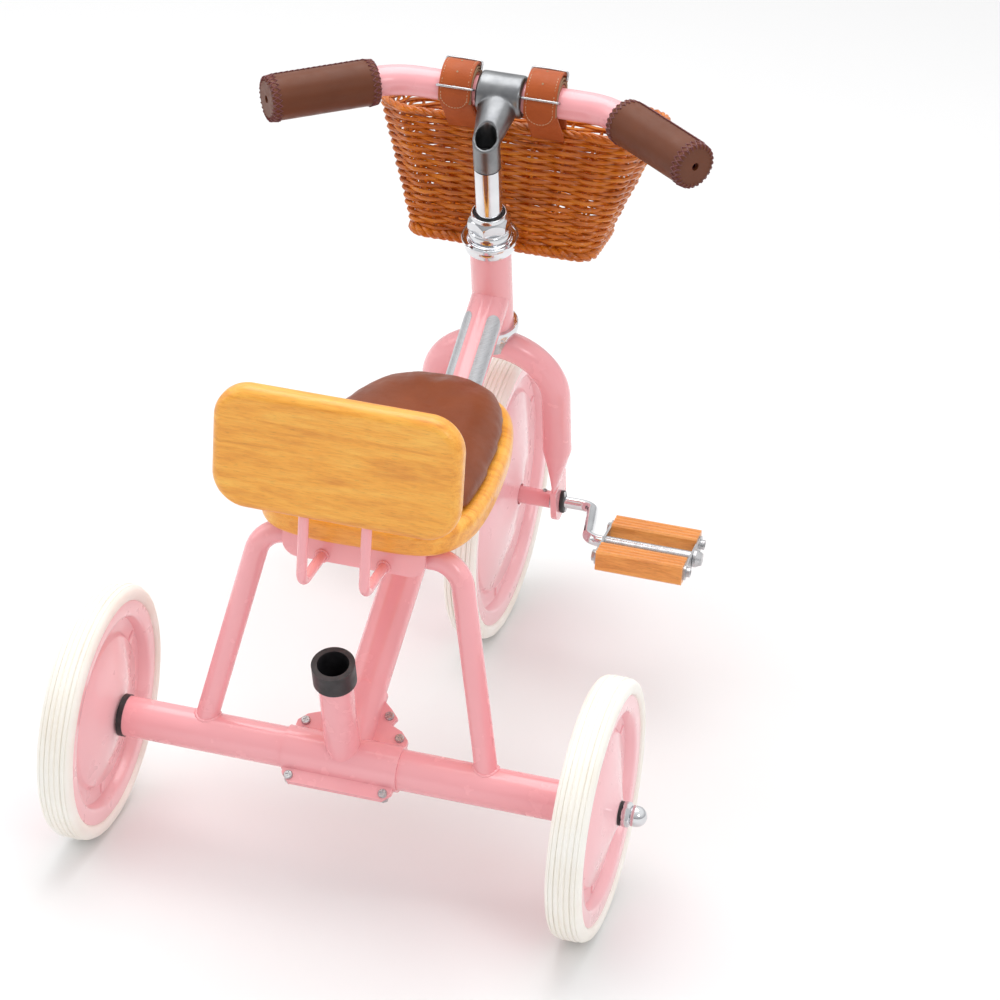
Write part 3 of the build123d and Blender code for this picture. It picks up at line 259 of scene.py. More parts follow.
def black_moulding():
    made = finish("black_moulding", (0.016, 0.015, 0.017), 0.42)
    where = spot(made)
    tinted(made, cloud(made, where, 200.0), (0.012, 0.011, 0.013), (0.028, 0.026, 0.028))
    roughened(made, cloud(made, where, 90.0), 0.34, 0.52)
    relief(made, (cloud(made, where, 1500.0, 2.0), 0.10, 0.0002))
    return made


def bright_plating():
    made = finish("bright_plating", (0.74, 0.75, 0.77), 0.09, metal=1.0)
    where = spot(made)
    roughened(made, cloud(made, where, 120.0), 0.06, 0.15)
    tinted(made, cloud(made, where, 35.0), (0.66, 0.67, 0.69), (0.80, 0.81, 0.83))
    relief(made, (cloud(made, where, 700.0), 0.02, 0.0002))
    return made


def polished_casting():
    made = finish("polished_casting", (0.23, 0.235, 0.245), 0.34, metal=1.0)
    where = spot(made)
    tinted(made, cloud(made, where, 70.0, 6.0), (0.19, 0.195, 0.205), (0.28, 0.285, 0.29))
    roughened(made, cloud(made, where, 150.0), 0.28, 0.40)
    grit = cloud(made, where, 900.0, 4.0)
    dents = cloud(made, where, 90.0)
    relief(made, (grit, 0.10, 0.0003), (dents, 0.05, 0.001))
    return made


def zinc_steel():
    made = finish("zinc_steel", (0.52, 0.52, 0.53), 0.28, metal=1.0)
    where = spot(made)
    tinted(made, cloud(made, where, 160.0), (0.44, 0.44, 0.45), (0.60, 0.60, 0.61))
    roughened(made, cloud(made, spot(made, (1, 8, 1)), 220.0), 0.20, 0.40)
    relief(made, (cloud(made, where, 1300.0), 0.06, 0.0002))
    return made


def silver_foil():
    made = finish("silver_foil", (0.60, 0.61, 0.63), 0.33, metal=0.85)
    where = spot(made, (1, 1, 12))
    roughened(made, cloud(made, where, 300.0), 0.26, 0.42)
    tinted(made, cloud(made, where, 120.0), (0.54, 0.55, 0.57), (0.66, 0.67, 0.69))
    return made


def cream_rubber():
    """Matte cream rubber with the fine rings that moulding leaves round the tread."""
    made = finish("cream_rubber", (0.90, 0.85, 0.76), 0.55, sheen=0.1)
    where = spot(made)
    tinted(made, cloud(made, where, 22.0, 5.0), (0.93, 0.88, 0.79), (0.97, 0.95, 0.89), (0.3, 0.65))
    roughened(made, cloud(made, where, 80.0), 0.48, 0.66)
    rings = bands(made, where, 210.0, "Y", 0.6, 3.0)
    relief(made, (rings, 0.07, 0.0004), (cloud(made, where, 900.0), 0.06, 0.0003))
    return made


def hub_moulding():
    made = finish("hub_moulding", (0.72, 0.70, 0.66), 0.5)
    where = spot(made)
    tinted(made, cloud(made, where, 150.0), (0.66, 0.64, 0.60), (0.76, 0.74, 0.70))
    relief(made, (cloud(made, where, 900.0), 0.08, 0.0002))
    return made


def varnished_wood(name, pale, mid, dark, stretch):
    """Straight-grained wood: broad drifting bands, thin growth lines and short dark pores."""
    made = finish(name, mid, 0.34, coat=0.25)
    where = spot(made, stretch)
    broad = ramp(made, cloud(made, where, 5.0, 4.0, 1.2), ((0.3, dark), (0.5, mid), (0.72, pale)))
    lines = cloud(made, where, 34.0, 6.0, 0.4)
    tone = mixed(made, 0.28, broad, ramp(made, lines, ((0.38, dark), (0.5, mid), (0.62, pale))))
    pores = cloud(made, spot(made, (stretch[0] * 7, stretch[1] * 3.2, stretch[2] * 7)), 22.0, 2.0)
    pits = ramp(made, pores, ((0.33, (0.0,)), (0.41, (1.0,))))
    coloured(made, mixed(made, 0.20, tone, mixed(made, 1.0, tone, pits, "MULTIPLY")))
    roughened(made, lines, 0.28, 0.44)
    relief(made, (pits, 0.16, 0.0002), (lines, 0.06, 0.0003))
    return made


def leather(name, base, deep, rough, grain, depth):
    """Dyed leather: pebbled grain, mottled dye and worn lighter patches."""
    made = finish(name, base, rough, sheen=0.02, gloss=0.28)
    where = spot(made)
    mottled = ramp(made, cloud(made, where, 28.0, 5.0), ((0.32, deep), (0.68, base)))
    pebbles = grains(made, where, grain)
    coloured(made, mixed(made, 0.22, mottled, ramp(made, pebbles, ((0.1, base), (0.6, deep)))))
    roughened(made, cloud(made, where, 130.0), rough * 0.85, rough * 1.2)
    relief(made, (pebbles, depth, 0.0003), (cloud(made, where, grain * 0.3), depth * 0.6, 0.0006))
    return made


def willow():
    """Stained glossy willow, its colour changing from rod to rod and along each rod."""
    made = finish("stained_willow", (0.60, 0.15, 0.01), 0.28, coat=0.3, gloss=0.35)
    where = spot(made)
    drift = cloud(made, spot(made, (1, 1, 9)), 26.0, 3.0)
    dark, mid, pale = (0.27, 0.046, 0.002), (0.58, 0.140, 0.004), (0.84, 0.29, 0.018)
    tone = ramp(made, drift, ((0.28, dark), (0.5, mid), (0.74, pale)))
    streaks = cloud(made, spot(made, (1, 1, 16)), 130.0, 4.0)
    grain = ramp(made, streaks, ((0.3, (0.36, 0.065, 0.004)), (0.7, (0.80, 0.24, 0.018))))
    coloured(made, mixed(made, 0.35, tone, grain))
    roughened(made, streaks, 0.22, 0.42)
    relief(made, (streaks, 0.20, 0.0003))
    return made


def thread(name, base):
    made = finish(name, base, 0.7, sheen=0.4)
    where = spot(made)
    twist = bands(made, where, 420.0, "DIAGONAL")
    # Painted shade: the low parts of the twist, the grooves between the strands, are drawn at half the
    # thread's colour.
    painted_groove_shade = tuple(part * 0.5 for part in base)
    coloured(made, mixed(made, 0.30, base, ramp(made, twist, ((0.2, painted_groove_shade), (0.8, base)))))
    relief(made, (twist, 0.35, 0.0002))
    return made


def golden_oak():
    pale, mid, dark = (0.98, 0.52, 0.085), (0.93, 0.40, 0.045), (0.72, 0.255, 0.025)
    return varnished_wood("golden_oak", pale, mid, dark, (20, 2.0, 20))


def oiled_beech():
    pale, mid, dark = (0.92, 0.43, 0.11), (0.84, 0.33, 0.070), (0.64, 0.22, 0.040)
    return varnished_wood("oiled_beech", pale, mid, dark, (26, 3.0, 26))


def pink_paint():
    return pink_coat("pink_paint_coat", (0.945, 0.425, 0.455), (0.930, 0.405, 0.435), 0.24)


def pink_wheel():
    return pink_coat("pink_wheel_coat", (0.970, 0.560, 0.590), (0.960, 0.540, 0.570), 0.30)


def seat_leatherette():
    return leather("seat_leatherette", (0.235, 0.056, 0.016), (0.185, 0.042, 0.012), 0.40, 1100.0, 0.12)


def grip_wrap():
    return leather("grip_wrap", (0.155, 0.043, 0.015), (0.120, 0.032, 0.011), 0.42, 1300.0, 0.10)


def strap_hide():
    return leather("strap_hide", (0.480, 0.105, 0.022), (0.360, 0.070, 0.014), 0.46, 760.0, 0.42)


def raw_hide_edge():
    return leather("raw_hide_edge", (0.52, 0.36, 0.22), (0.30, 0.18, 0.10), 0.7, 900.0, 0.5)


def make_finishes():
    return {
        "pink_paint": pink_paint(),
        "pink_wheel": pink_wheel(),
        "black_plastic": black_moulding(),
        "chrome": bright_plating(),
        "cast_aluminium": polished_casting(),
        "zinc_steel": zinc_steel(),
        "silver_strip": silver_foil(),
        "white_tyre": cream_rubber(),
        "hub_plastic": hub_moulding(),
        "oak": golden_oak(),
        "beech": oiled_beech(),
        "seat_leather": seat_leatherette(),
        "grip_leather": grip_wrap(),
        "strap_leather": strap_hide(),
        "wicker": willow(),
        "burgundy_thread": thread("burgundy_thread", (0.17, 0.030, 0.032)),
        "beige_thread": thread("beige_thread", (0.62, 0.40, 0.24)),
        "hide_edge": raw_hide_edge(),
    }


set_camera()
set_studio()
FINISHES = make_finishes()
SLOT_OF = {part["node"]: part["material_slot"] for part in frame["record"]["subparts"]}
for name, piece in frame["nodes"].items():
    for place in piece.material_slots:
        place.material = FINISHES[SLOT_OF[name]]


# ---- making and settling pieces
def alone(piece):
    """Only this piece is selected and active."""
    bpy.ops.object.select_all(action="DESELECT")
    piece.select_set(True)
    bpy.context.view_layer.objects.active = piece
    return piece


def settle(piece, name, look, body, turn=None, smooth=40):
    """Names a piece, fixes its place into its mesh, gives it its finish and its body."""
    alone(piece)
    piece.name = name
    if turn is not None:
        piece.matrix_world = turn
    bpy.ops.object.transform_apply(location=True, rotation=True, scale=True)
    if smooth:
        bpy.ops.object.shade_smooth_by_angle(angle=radians(smooth))
    piece.data.materials.clear()
    piece.data.materials.append(FINISHES[look])
    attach(piece, body)
    return piece


def applied(piece, kind, **settings):
    """Adds a modifier and applies it."""
    alone(piece)
    new = piece.modifiers.new("shape", kind)
    for setting, value in settings.items():
        setattr(new, setting, value)
    bpy.ops.object.modifier_apply(modifier=new.name)


def turned(stations, steps=96):
    """Piece turned about Z: one circle extruded and resized through (radius, height) stations, in mm."""
    radius, high = stations[0]
    bpy.ops.object.select_all(action="DESELECT")
    bpy.ops.mesh.primitive_circle_add(vertices=steps, radius=radius * MM, location=(0, 0, 0))
    piece = bpy.context.object
    bpy.ops.object.mode_set(mode="EDIT")
    bpy.ops.mesh.select_all(action="SELECT")
    bpy.ops.transform.translate(value=(0, 0, high * MM))
    for next_radius, next_high in stations[1:]:
        bpy.ops.mesh.extrude_region_move(TRANSFORM_OT_translate={"value": (0, 0, (next_high - high) * MM)})
        share = next_radius / radius
        bpy.ops.transform.resize(value=(share, share, 1), center_override=(0, 0, next_high * MM))
        radius, high = next_radius, next_high
    bpy.ops.mesh.select_all(action="DESELECT")
    bpy.ops.mesh.select_mode(type="EDGE")
    bpy.ops.mesh.select_non_manifold(extend=False, use_boundary=True, use_wire=False, use_multi_face=False)
    bpy.ops.mesh.bridge_edge_loops()
    bpy.ops.mesh.select_all(action="SELECT")
    bpy.ops.mesh.normals_make_consistent(inside=False)
    bpy.ops.object.mode_set(mode="OBJECT")
    return piece


def rods(runs, thick, closed=False, sides=1):
    """Round rods along runs of (point, share of thickness) pairs, as one mesh."""
    drawn = bpy.data.curves.new("rods", "CURVE")
    drawn.dimensions = "3D"
    drawn.bevel_depth = thick
    drawn.bevel_resolution = sides
    drawn.use_fill_caps = True
    for run in runs:
        line = drawn.splines.new("POLY")
        line.points.add(len(run) - 1)
        for point, (place, share) in zip(line.points, run):
            point.co = (*place, 1)
            point.radius = share
        line.use_cyclic_u = closed
    piece = bpy.data.objects.new("rods", drawn)
    bpy.context.collection.objects.link(piece)
    alone(piece)
    bpy.ops.object.convert(target="MESH")
    return bpy.context.object


BAND_COLUMNS = 10
TIP_END = 0.02 * MM
BAND_ROUNDING = 0.45 * MM


def band(path, width, thick, round_tip=0.0):
    """Flat strip of the given width along Y, following a path, with a rounded far end when asked."""
    bpy.ops.object.select_all(action="DESELECT")
    bpy.ops.mesh.primitive_grid_add(x_subdivisions=len(path) - 1, y_subdivisions=BAND_COLUMNS, size=2)
    piece = bpy.context.object
    along = [0.0]
    for before, after in zip(path, path[1:]):
        along.append(along[-1] + (after - before).length)
    for corner in piece.data.vertices:
        step = min(len(path) - 1, round((corner.co.x + 1) / 2 * (len(path) - 1)))
        left = along[-1] - along[step]
        half = width / 2
        if round_tip and left < round_tip:
            half = width / 2 * sqrt(max(0.0, 1 - (1 - left / round_tip) ** 2)) + TIP_END
        corner.co = path[step] + Vector((0, corner.co.y * half, 0))
    applied(piece, "SOLIDIFY", thickness=thick, offset=0)
    applied(piece, "BEVEL", width=BAND_ROUNDING, segments=2, limit_method="ANGLE")
    return piece


UP = Vector((0, 0, 1))


def across(place):
    """Turns a piece made about Z so that it runs along Y, and moves it to its place."""
    return Matrix.Translation(place) @ Matrix.Rotation(-pi / 2, 4, "X")


WHEELBASE = 434
FRONT_RADIUS, REAR_RADIUS = 130, 102
STEER_TILT = radians(18)
STEER_TURN = Matrix.Translation(at(WHEELBASE, 0, FRONT_RADIUS)) @ Matrix.Rotation(-STEER_TILT, 4, "Y")
NUT_ROUNDING = 0.35 * MM
NUT_CREASE = 28
SPARE_HEIGHT = 4


def chamfered_nut(flats, stations, name, look, body, turn):
    """Hexagon cut by a turned shape that gives it its bore, chamfers and collar."""
    low, high = min(h for r, h in stations), max(h for r, h in stations)
    nut = turned(stations, 96)
    bpy.ops.object.select_all(action="DESELECT")
    tall = (high - low + SPARE_HEIGHT) * MM
    middle = (0, 0, (low + high) / 2 * MM)
    bpy.ops.mesh.primitive_cylinder_add(vertices=6, radius=flats / sqrt(3) * MM, depth=tall, location=middle)
    hexagon = bpy.context.object
    hexagon.rotation_euler = (0, 0, radians(30))
    bpy.ops.object.transform_apply(location=True, rotation=True)
    applied(nut, "BOOLEAN", operation="INTERSECT", object=hexagon, solver="EXACT")
    bpy.data.objects.remove(hexagon)
    crease = radians(NUT_CREASE)
    applied(nut, "BEVEL", width=NUT_ROUNDING, segments=2, limit_method="ANGLE", angle_limit=crease)
    return settle(nut, name, look, body, turn, NUT_CREASE)


# ---- wheels
RIBS = (-8.2, -4.2, 0.0, 4.2, 8.2)
GROOVE, OUTER_RIB_DROP = 1.35, 0.55
WHEEL_STEPS = 128
PADS_A_SIDE = 6
PAD_SIZE, PAD_HEIGHT, PAD_INSET = (11, 7, 2.4), 2.2, 33.5


def rubber_section(radius):
    """Half-round shoulders and five soft ribs round the tread."""
    wall = [(radius - 17, -11), (radius - 12.2, -11), (radius - 11.7, -12.6), (radius - 10.2, -13.7)]
    wall += [(radius - 7.6, -14), (radius - 4.6, -13.5), (radius - 2.4, -12.2), (radius - 1.3, -10.4)]
    tread = []
    for rib in RIBS:
        drop = OUTER_RIB_DROP if rib in (RIBS[0], RIBS[-1]) else 0.0
        tread += [(radius - GROOVE - drop, rib - 1.9), (radius - drop - 0.25, rib - 1.35)]
        tread += [(radius - drop, rib - 0.5), (radius - drop, rib + 0.5)]
        tread += [(radius - drop - 0.25, rib + 1.35), (radius - GROOVE - drop, rib + 1.9)]
    return wall + tread + [(r, -y) for r, y in reversed(wall)]


def disc_section(radius, bore):
    """Cone centre, sunk ring and flat rim face of one side, mirrored to the other."""
    rim = radius - 12.4
    channel = radius - 25
    foot = channel - 17
    half = [(bore, 18.2), (bore + 0.5, 18.5), (11.2, 18.5), (12.3, 17.9)]
    half += [(foot * 0.5, 12.6), (foot - 1.0, 6.4)]
    half += [(foot + 0.4, 5.0), (foot + 1.8, 2.6), (foot + 3.6, 2.0)]
    half += [(channel - 3.6, 2.0), (channel - 2.0, 2.8), (channel - 0.6, 9.6), (channel + 0.4, 11.0)]
    half += [(channel + 2.2, 11.5), (rim - 3.2, 11.9), (rim - 0.4, 11.6), (rim, 10.7), (radius - 17.2, 10.7)]
    return half + [(r, -y) for r, y in reversed(half)]


def channel_pad(radius, side, turn):
    """One low moulded pad lying in the sunk ring."""
    middle = (radius - PAD_INSET) * MM
    bpy.ops.object.select_all(action="DESELECT")
    bpy.ops.mesh.primitive_cube_add(size=1)
    pad = bpy.context.object
    pad.scale = tuple(length * MM for length in PAD_SIZE)
    pad.rotation_euler = (0, 0, turn)
    pad.location = (middle * cos(turn), middle * sin(turn), side * PAD_HEIGHT * MM)
    bpy.ops.object.transform_apply(location=True, rotation=True, scale=True)
    applied(pad, "BEVEL", width=1.0 * MM, segments=3)
    return pad


def joined(pieces):
    """The pieces as one mesh, in the first one's object."""
    alone(pieces[0])
    for piece in pieces:
        piece.select_set(True)
    bpy.ops.object.join()
    return pieces[0]


def channel_pads(radius, wheel_place, name, body):
    """Pads in the sunk ring, on both sides."""
    pads = []
    for side in (-1, 1):
        for step in range(PADS_A_SIDE):
            pads.append(channel_pad(radius, side, pi / 6 + step * pi / 3))
    return settle(joined(pads), name, "pink_wheel", body, across(wheel_place))


def make_wheel(side, radius, bore, wheel_place, body):
    """Tyre and disc of one wheel."""
    turn = across(wheel_place)
    rubber = turned(rubber_section(radius), WHEEL_STEPS)
    settle(rubber, side + "_ribbed_tyre", "white_tyre", body, turn)
    disc = turned(disc_section(radius, bore), WHEEL_STEPS)
    settle(disc, side + "_dished_disc", "pink_wheel", body, turn, 50)
    channel_pads(radius, wheel_place, side + "_disc_pads", body)
    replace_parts(rubber, side + "_tyre")
    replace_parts(disc, side + "_disc")


REAR_TRACK_HALF = 200.5
REAR_BORE, FRONT_BORE = 8.9, 9.3
for hand, y in (("left_rear", REAR_TRACK_HALF), ("right_rear", -REAR_TRACK_HALF)):
    make_wheel(hand, REAR_RADIUS, REAR_BORE, at(0, y, REAR_RADIUS), hand + "_wheel")
make_wheel("front", FRONT_RADIUS, FRONT_BORE, at(WHEELBASE, 0, FRONT_RADIUS), "front_wheel")
AXLE_NUT = [(5.0, 221.1), (8.2, 221.1), (9.2, 221.9), (9.9, 222.6)]
AXLE_NUT += [(9.9, 226.7), (9.2, 227.4), (8.2, 228.1), (5.0, 228.1)]
DOME_FOOT = [(0.4, 228.1), (7.2, 228.1), (7.9, 228.7), (8.2, 229.6)]
DOME_RADIUS, DOME_MIDDLE = 8.2, 232.1


def dome_section():
    """Collar, straight skirt and half-round top of a dome nut."""
    section = DOME_FOOT + [(DOME_RADIUS, DOME_MIDDLE)]
    for degrees in range(10, 90, 10):
        bend = radians(degrees)
        section.append((DOME_RADIUS * cos(bend), DOME_MIDDLE + DOME_RADIUS * sin(bend)))
    return section + [(0.4, 240.28)]


def axle_end(side):
    """Chamfered hex nut and dome nut on one end of the rear axle."""
    hand = "left" if side > 0 else "right"
    turn = Matrix.Translation(at(0, 0, REAR_RADIUS)) @ Matrix.Rotation(-side * pi / 2, 4, "X")
    chamfered_nut(17, AXLE_NUT, hand + "_axle_nut", "chrome", "frame", turn)
    return settle(turned(dome_section(), 64), hand + "_dome_nut", "chrome", "frame", turn, 35)


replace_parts(axle_end(1), "axle_nuts")
axle_end(-1)


# ---- wicker basket
BASE, RIM = 380.0, 492.0
BACK, BACK_LEAN = 376, 2
FOOT_DEPTH, FOOT_HALF_WIDTH, FOOT_CORNER = 80, 78, 14
FLARE, CORNER_FLARE = 42, 28
FRONT_DIP = 13.0
STAKES = 22
ROWS, FIRST_ROW, ROW_PITCH = 33, 10.0, 3.02
WALL_INSET = 4.0
STEPS_A_STAKE = 8
SHARPNESS = 0.93
chance = Random(5)


def dip(ahead, deep, share):
    """The rim sinks a little towards the front."""
    return FRONT_DIP * max(0.0, share) ** 1.5 * max(0.0, (ahead + deep) / (2 * deep)) ** 1.3


def basket_wall(way, high, inset):
    """Point on the basket's rounded plan at a height, and the way out there; way runs 0 to 1 round it."""
    share = (high - BASE) / (RIM - BASE)
    deep = (FOOT_DEPTH + FLARE * share) / 2 - inset
    wide = FOOT_HALF_WIDTH + FLARE * share - inset
    corner = FOOT_CORNER + CORNER_FLARE * share - inset
    middle = BACK - (1 - share) * BACK_LEAN + inset + deep
    runs = []
    for quarter in range(4):
        straight = (wide if quarter % 2 == 0 else deep) - corner
        runs += [2 * straight, corner * pi / 2]
    left = (way % 1.0) * sum(runs)
    side = 0
    while left > runs[side] and side < 7:
        left -= runs[side]
        side += 1
    quarter = side // 2
    out = Vector((-cos(quarter * pi / 2), sin(quarter * pi / 2), 0))
    ahead = Vector((sin(quarter * pi / 2), cos(quarter * pi / 2), 0))
    reach = deep if quarter % 2 == 0 else wide
    half = runs[quarter * 2] / 2
    if side % 2 == 0:
        lead = out
        flat = out * reach + ahead * (left - half)
    else:
        bend = left / corner
        lead = out * cos(bend) + ahead * sin(bend)
        flat = out * (reach - corner) + ahead * half + lead * corner
    return at(middle + flat.x, flat.y, high - dip(flat.x, deep, share)), lead


def weavers():
    """Horizontal rods bending sharply over one stake and behind the next, row by row the other way."""
    rows = []
    steps = STAKES * STEPS_A_STAKE
    for row in range(ROWS):
        lift = BASE + FIRST_ROW + row * ROW_PITCH
        reach, drift = chance.uniform(2.2, 2.7), chance.uniform(0, 6)
        heavy = chance.uniform(-0.08, 0.08)
        run = []
        for step in range(steps):
            swing = asin(SHARPNESS * cos(pi * step / STEPS_A_STAKE + pi * row)) / asin(SHARPNESS)
            high = lift + 0.4 * sin(drift + step * 0.13) + chance.uniform(-0.12, 0.12)
            place, out = basket_wall(step / steps, high, WALL_INSET)
            thick = 0.80 + 0.21 * swing + heavy + chance.uniform(-0.03, 0.03)
            run.append((place + out * (reach * swing * MM), thick))
        rows.append(run)
    return rods(rows, 2.0 * MM, closed=True)


def stakes():
    """Upright rods that the weavers pass."""
    runs = []
    for stake in range(STAKES):
        run = []
        for level in range(7):
            high = BASE + 3 + level * (RIM - BASE - 8) / 6
            run.append((basket_wall(stake / STAKES, high, WALL_INSET)[0], 1.0))
        runs.append(run)
    return rods(runs, 1.5 * MM)


def braid(high, inset, turns, swing, thick, strands=3):
    """Rods wound round each other along the basket's plan."""
    runs = []
    steps = turns * 8
    for strand in range(strands):
        run = []
        for step in range(steps):
            bend = 2 * pi * (step / 8 + strand / strands)
            place, out = basket_wall(step / steps, high, inset)
            rise = UP * (swing * 0.9 * sin(bend) * MM)
            run.append((place + out * (swing * cos(bend) * MM) + rise, 1.0))
        runs.append(run)
    return rods(runs, thick * MM, closed=True, sides=2)


FLOOR_HIGH = BASE + 4
FLOOR_STICKS, FIRST_STICK, STICK_PITCH = 9, -64, 16
FLOOR_ROWS = 17


def basket_floor():
    """Woven floor: sticks from front to back, weavers from side to side over and under them."""
    runs = []
    for stick in range(FLOOR_STICKS):
        y = FIRST_STICK + stick * STICK_PITCH
        runs.append([(at(x, y, FLOOR_HIGH), 1.0) for x in (380, 414, 449)])
    for row in range(FLOOR_ROWS):
        x = 382 + row * 4.1
        edge = 72 if 1 < row < FLOOR_ROWS - 2 else 66
        run = []
        for step in range(33):
            y = -edge + step * edge / 16
            swing = cos(pi * (y - FIRST_STICK) / STICK_PITCH + pi * row)
            run.append((at(x, y, FLOOR_HIGH + 1.7 * swing), 1.0))
        runs.append(run)
    return rods(runs, 1.9 * MM)


wicker_wall = settle(weavers(), "woven_wall", "wicker", "steering")
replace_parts(wicker_wall, "basket")
settle(stakes(), "basket_stakes", "wicker", "steering")
settle(braid(RIM - 3.4, 3.8, 26, 1.7, 1.9), "rim_braid", "wicker", "steering")
settle(braid(BASE + 4.6, 3.2, 20, 2.7, 2.6), "foot_braid", "wicker", "steering")
settle(basket_floor(), "basket_floor", "wicker", "steering")


# ---- straps
BAR = Vector((356.97, 0, 522.4))
HOOK = Vector((379.0, 0, 486.0))
LOOP_WIDTH, FOLD_WIDTH, FLAP_WIDTH = 27, 27.4, 26.4
FLAP_REACH, FLAP_TIP = 17.2, 12.5
FOLDS = ((15.2, 0.25), (15.8, 0.62))
STITCH_LIFT, STITCH_INSET = 1.12, 2.1
EYELET_STEPS = (9, 15, 21)
FLAP_BENDS, TAIL_STEPS = 28, 14
WIRE_SHAPE = ((-14.9, 7.0), (-14.9, 2.2), (-14.5, 0.7), (-13.2, 0.0), (0, -0.3))
WIRE_SHAPE += ((13.2, 0.0), (14.5, 0.7), (14.9, 2.2), (14.9, 7.0))


def strap_path(bar_reach, hook_reach):
    """Loop round the handlebar and the basket's back rim, from its rear foot up over the bar and back."""
    gap = HOOK - BAR
    lean = atan2(gap.z, gap.x)
    open_by = acos((bar_reach - hook_reach) / hypot(gap.x, gap.z))
    path = []
    start, sweep = lean + open_by, 2 * pi - 2 * open_by
    for step in range(33):
        turn = start + sweep * step / 32
        path.append((BAR.x + bar_reach * cos(turn), BAR.z + bar_reach * sin(turn)))
    start, sweep = lean - open_by, 2 * open_by
    for step in range(17):
        turn = start + sweep * step / 16
        path.append((HOOK.x + hook_reach * cos(turn), HOOK.z + hook_reach * sin(turn)))
    path.append(path[0])
    return path


def flap_path(reach, first, last, tail, rise=0.0):
    """Outer layer over the bar, standing off it by rise on top, then down the back; degrees from forward."""
    path = []
    for step in range(FLAP_BENDS + 1):
        turn = radians(first + (last - first) * step / FLAP_BENDS)
        grown = reach + rise * max(0.0, cos(turn - radians(74))) ** 1.6
        path.append((BAR.x + grown * cos(turn), BAR.z + grown * sin(turn)))
    down = radians(last + 82)
    x, z = path[-1]
    for step in range(1, TAIL_STEPS + 1):
        path.append((x + tail * step / TAIL_STEPS * cos(down), z + tail * step / TAIL_STEPS * sin(down)))
    return path


def wire_ring(y, turn, reach):
    """Bent wire frame lying across the straps, its corners rounded and its ends dropping beside them."""
    level = Vector((0, 1, 0))
    out = Vector((cos(radians(turn)), 0, sin(radians(turn))))
    middle = BAR + Vector((0, y, 0))
    run = []
    for aside, inward in WIRE_SHAPE:
        run.append((at(*(middle + level * aside + out * (reach - inward))), 1.0))
    return run


def stitches(path, y, pitch=2.6):
    """Short thread stitches just inside both edges of a strap's flap."""
    runs = []
    left = 0.0
    for (x0, z0), (x1, z1) in zip(path, path[1:]):
        length = hypot(x1 - x0, z1 - z0)
        while left < length:
            share = left / length
            reach = min(1.0, (left + 1.5) / length)
            out = Vector((z0 - z1, 0, x1 - x0)) * (-STITCH_LIFT / max(length, 0.001))
            for side in (-1, 1):
                edge = y + side * (FLAP_WIDTH / 2 - STITCH_INSET)
                a = at(x0 + (x1 - x0) * share + out.x, edge, z0 + (z1 - z0) * share + out.z)
                b = at(x0 + (x1 - x0) * reach + out.x, edge, z0 + (z1 - z0) * reach + out.z)
                runs.append([(a, 0.7), ((a + b) / 2, 1.0), (b, 0.7)])
            left += pitch
        left -= length
    return runs


def tip_stitches(path, y):
    """Stitches that follow the flap's rounded tip."""
    runs = []
    (x0, z0), (x1, z1) = path[-2], path[-1]
    length = hypot(x1 - x0, z1 - z0)
    ahead = Vector(((x1 - x0) / length, 0, (z1 - z0) / length))
    out = Vector((-ahead.z, 0, ahead.x)) * -STITCH_LIFT
    middle = Vector((x1, y, z1)) - ahead * FLAP_TIP
    reach = FLAP_TIP - STITCH_INSET
    for step in range(14):
        ends = []
        for turn in (pi * (step + 0.15) / 14, pi * (step + 0.75) / 14):
            aside = Vector((0, (FLAP_WIDTH / 2 - STITCH_INSET) * cos(turn), 0))
            ends.append(middle + ahead * (reach * sin(turn)) + aside + out)
        runs.append([(at(*ends[0]), 0.8), (at(*ends[1]), 0.8)])
    return runs


def eyelets(outer, y):
    """Short pegs of bare hide that line the strap's punched holes."""
    pegs = []
    for step in EYELET_STEPS:
        (x0, z0), (x1, z1) = outer[step], outer[step + 1]
        way = Vector((z1 - z0, 0, x0 - x1)).normalized()
        foot = Vector((x0, y, z0)) + way * 0.5
        pegs.append([(at(*foot), 1.0), (at(*(foot + way * 0.8)), 1.0)])
    return rods(pegs, 0.85 * MM, sides=2)


def make_strap(hand, y, rise, tail):
    """Loop, two folded layers, sewn outer flap and eyelets of one strap; gives its two buckle wires."""
    loop = [at(x, y, z) for x, z in strap_path(13.9, 3.6)]
    belt = band(loop, LOOP_WIDTH * MM, 2.2 * MM)
    settle(belt, hand + "_strap_loop", "strap_leather", "steering")
    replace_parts(belt, hand + "_strap")
    for layer, (reach, share) in enumerate(FOLDS):
        middle = [at(x, y, z) for x, z in flap_path(reach, 25 - 14 * layer, 196, 3, rise * share)]
        fold = band(middle, FOLD_WIDTH * MM, 1.5 * MM)
        settle(fold, f"{hand}_strap_fold_{layer}", "hide_edge", "steering")
    outer = flap_path(FLAP_REACH, 34, 197, tail, rise)
    flap = band([at(x, y, z) for x, z in outer], FLAP_WIDTH * MM, 2.1 * MM, FLAP_TIP * MM)
    settle(flap, hand + "_strap_flap", "strap_leather", "steering")
    sewn = stitches(outer[:FLAP_BENDS + 2], y) + tip_stitches(outer, y)
    settle(rods(sewn, 0.33 * MM), hand + "_strap_stitching", "beige_thread", "steering")
    settle(eyelets(outer, y), hand + "_strap_eyelets", "hide_edge", "steering")
    return [wire_ring(y, 66, 18.9 + rise), wire_ring(y, 160, 19.6)]


wires = make_strap("left", 35.5, 4.6, 8.5) + make_strap("right", -35.5, 6.6, 12.0)
buckle_wires = settle(rods(wires, 1.05 * MM, sides=3), "buckle_wires", "zinc_steel", "steering")
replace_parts(buckle_wires, "buckles")


# ---- grips
GRIP_RADIUS, GRIP_LENGTH = 18.75, 92.0
END_STITCHES = 13
SEAM_TURN, SEAM_HALF = radians(119), 0.15
SEAM_STEPS, SEAM_START, SEAM_PITCH = 18, 7, 4.6


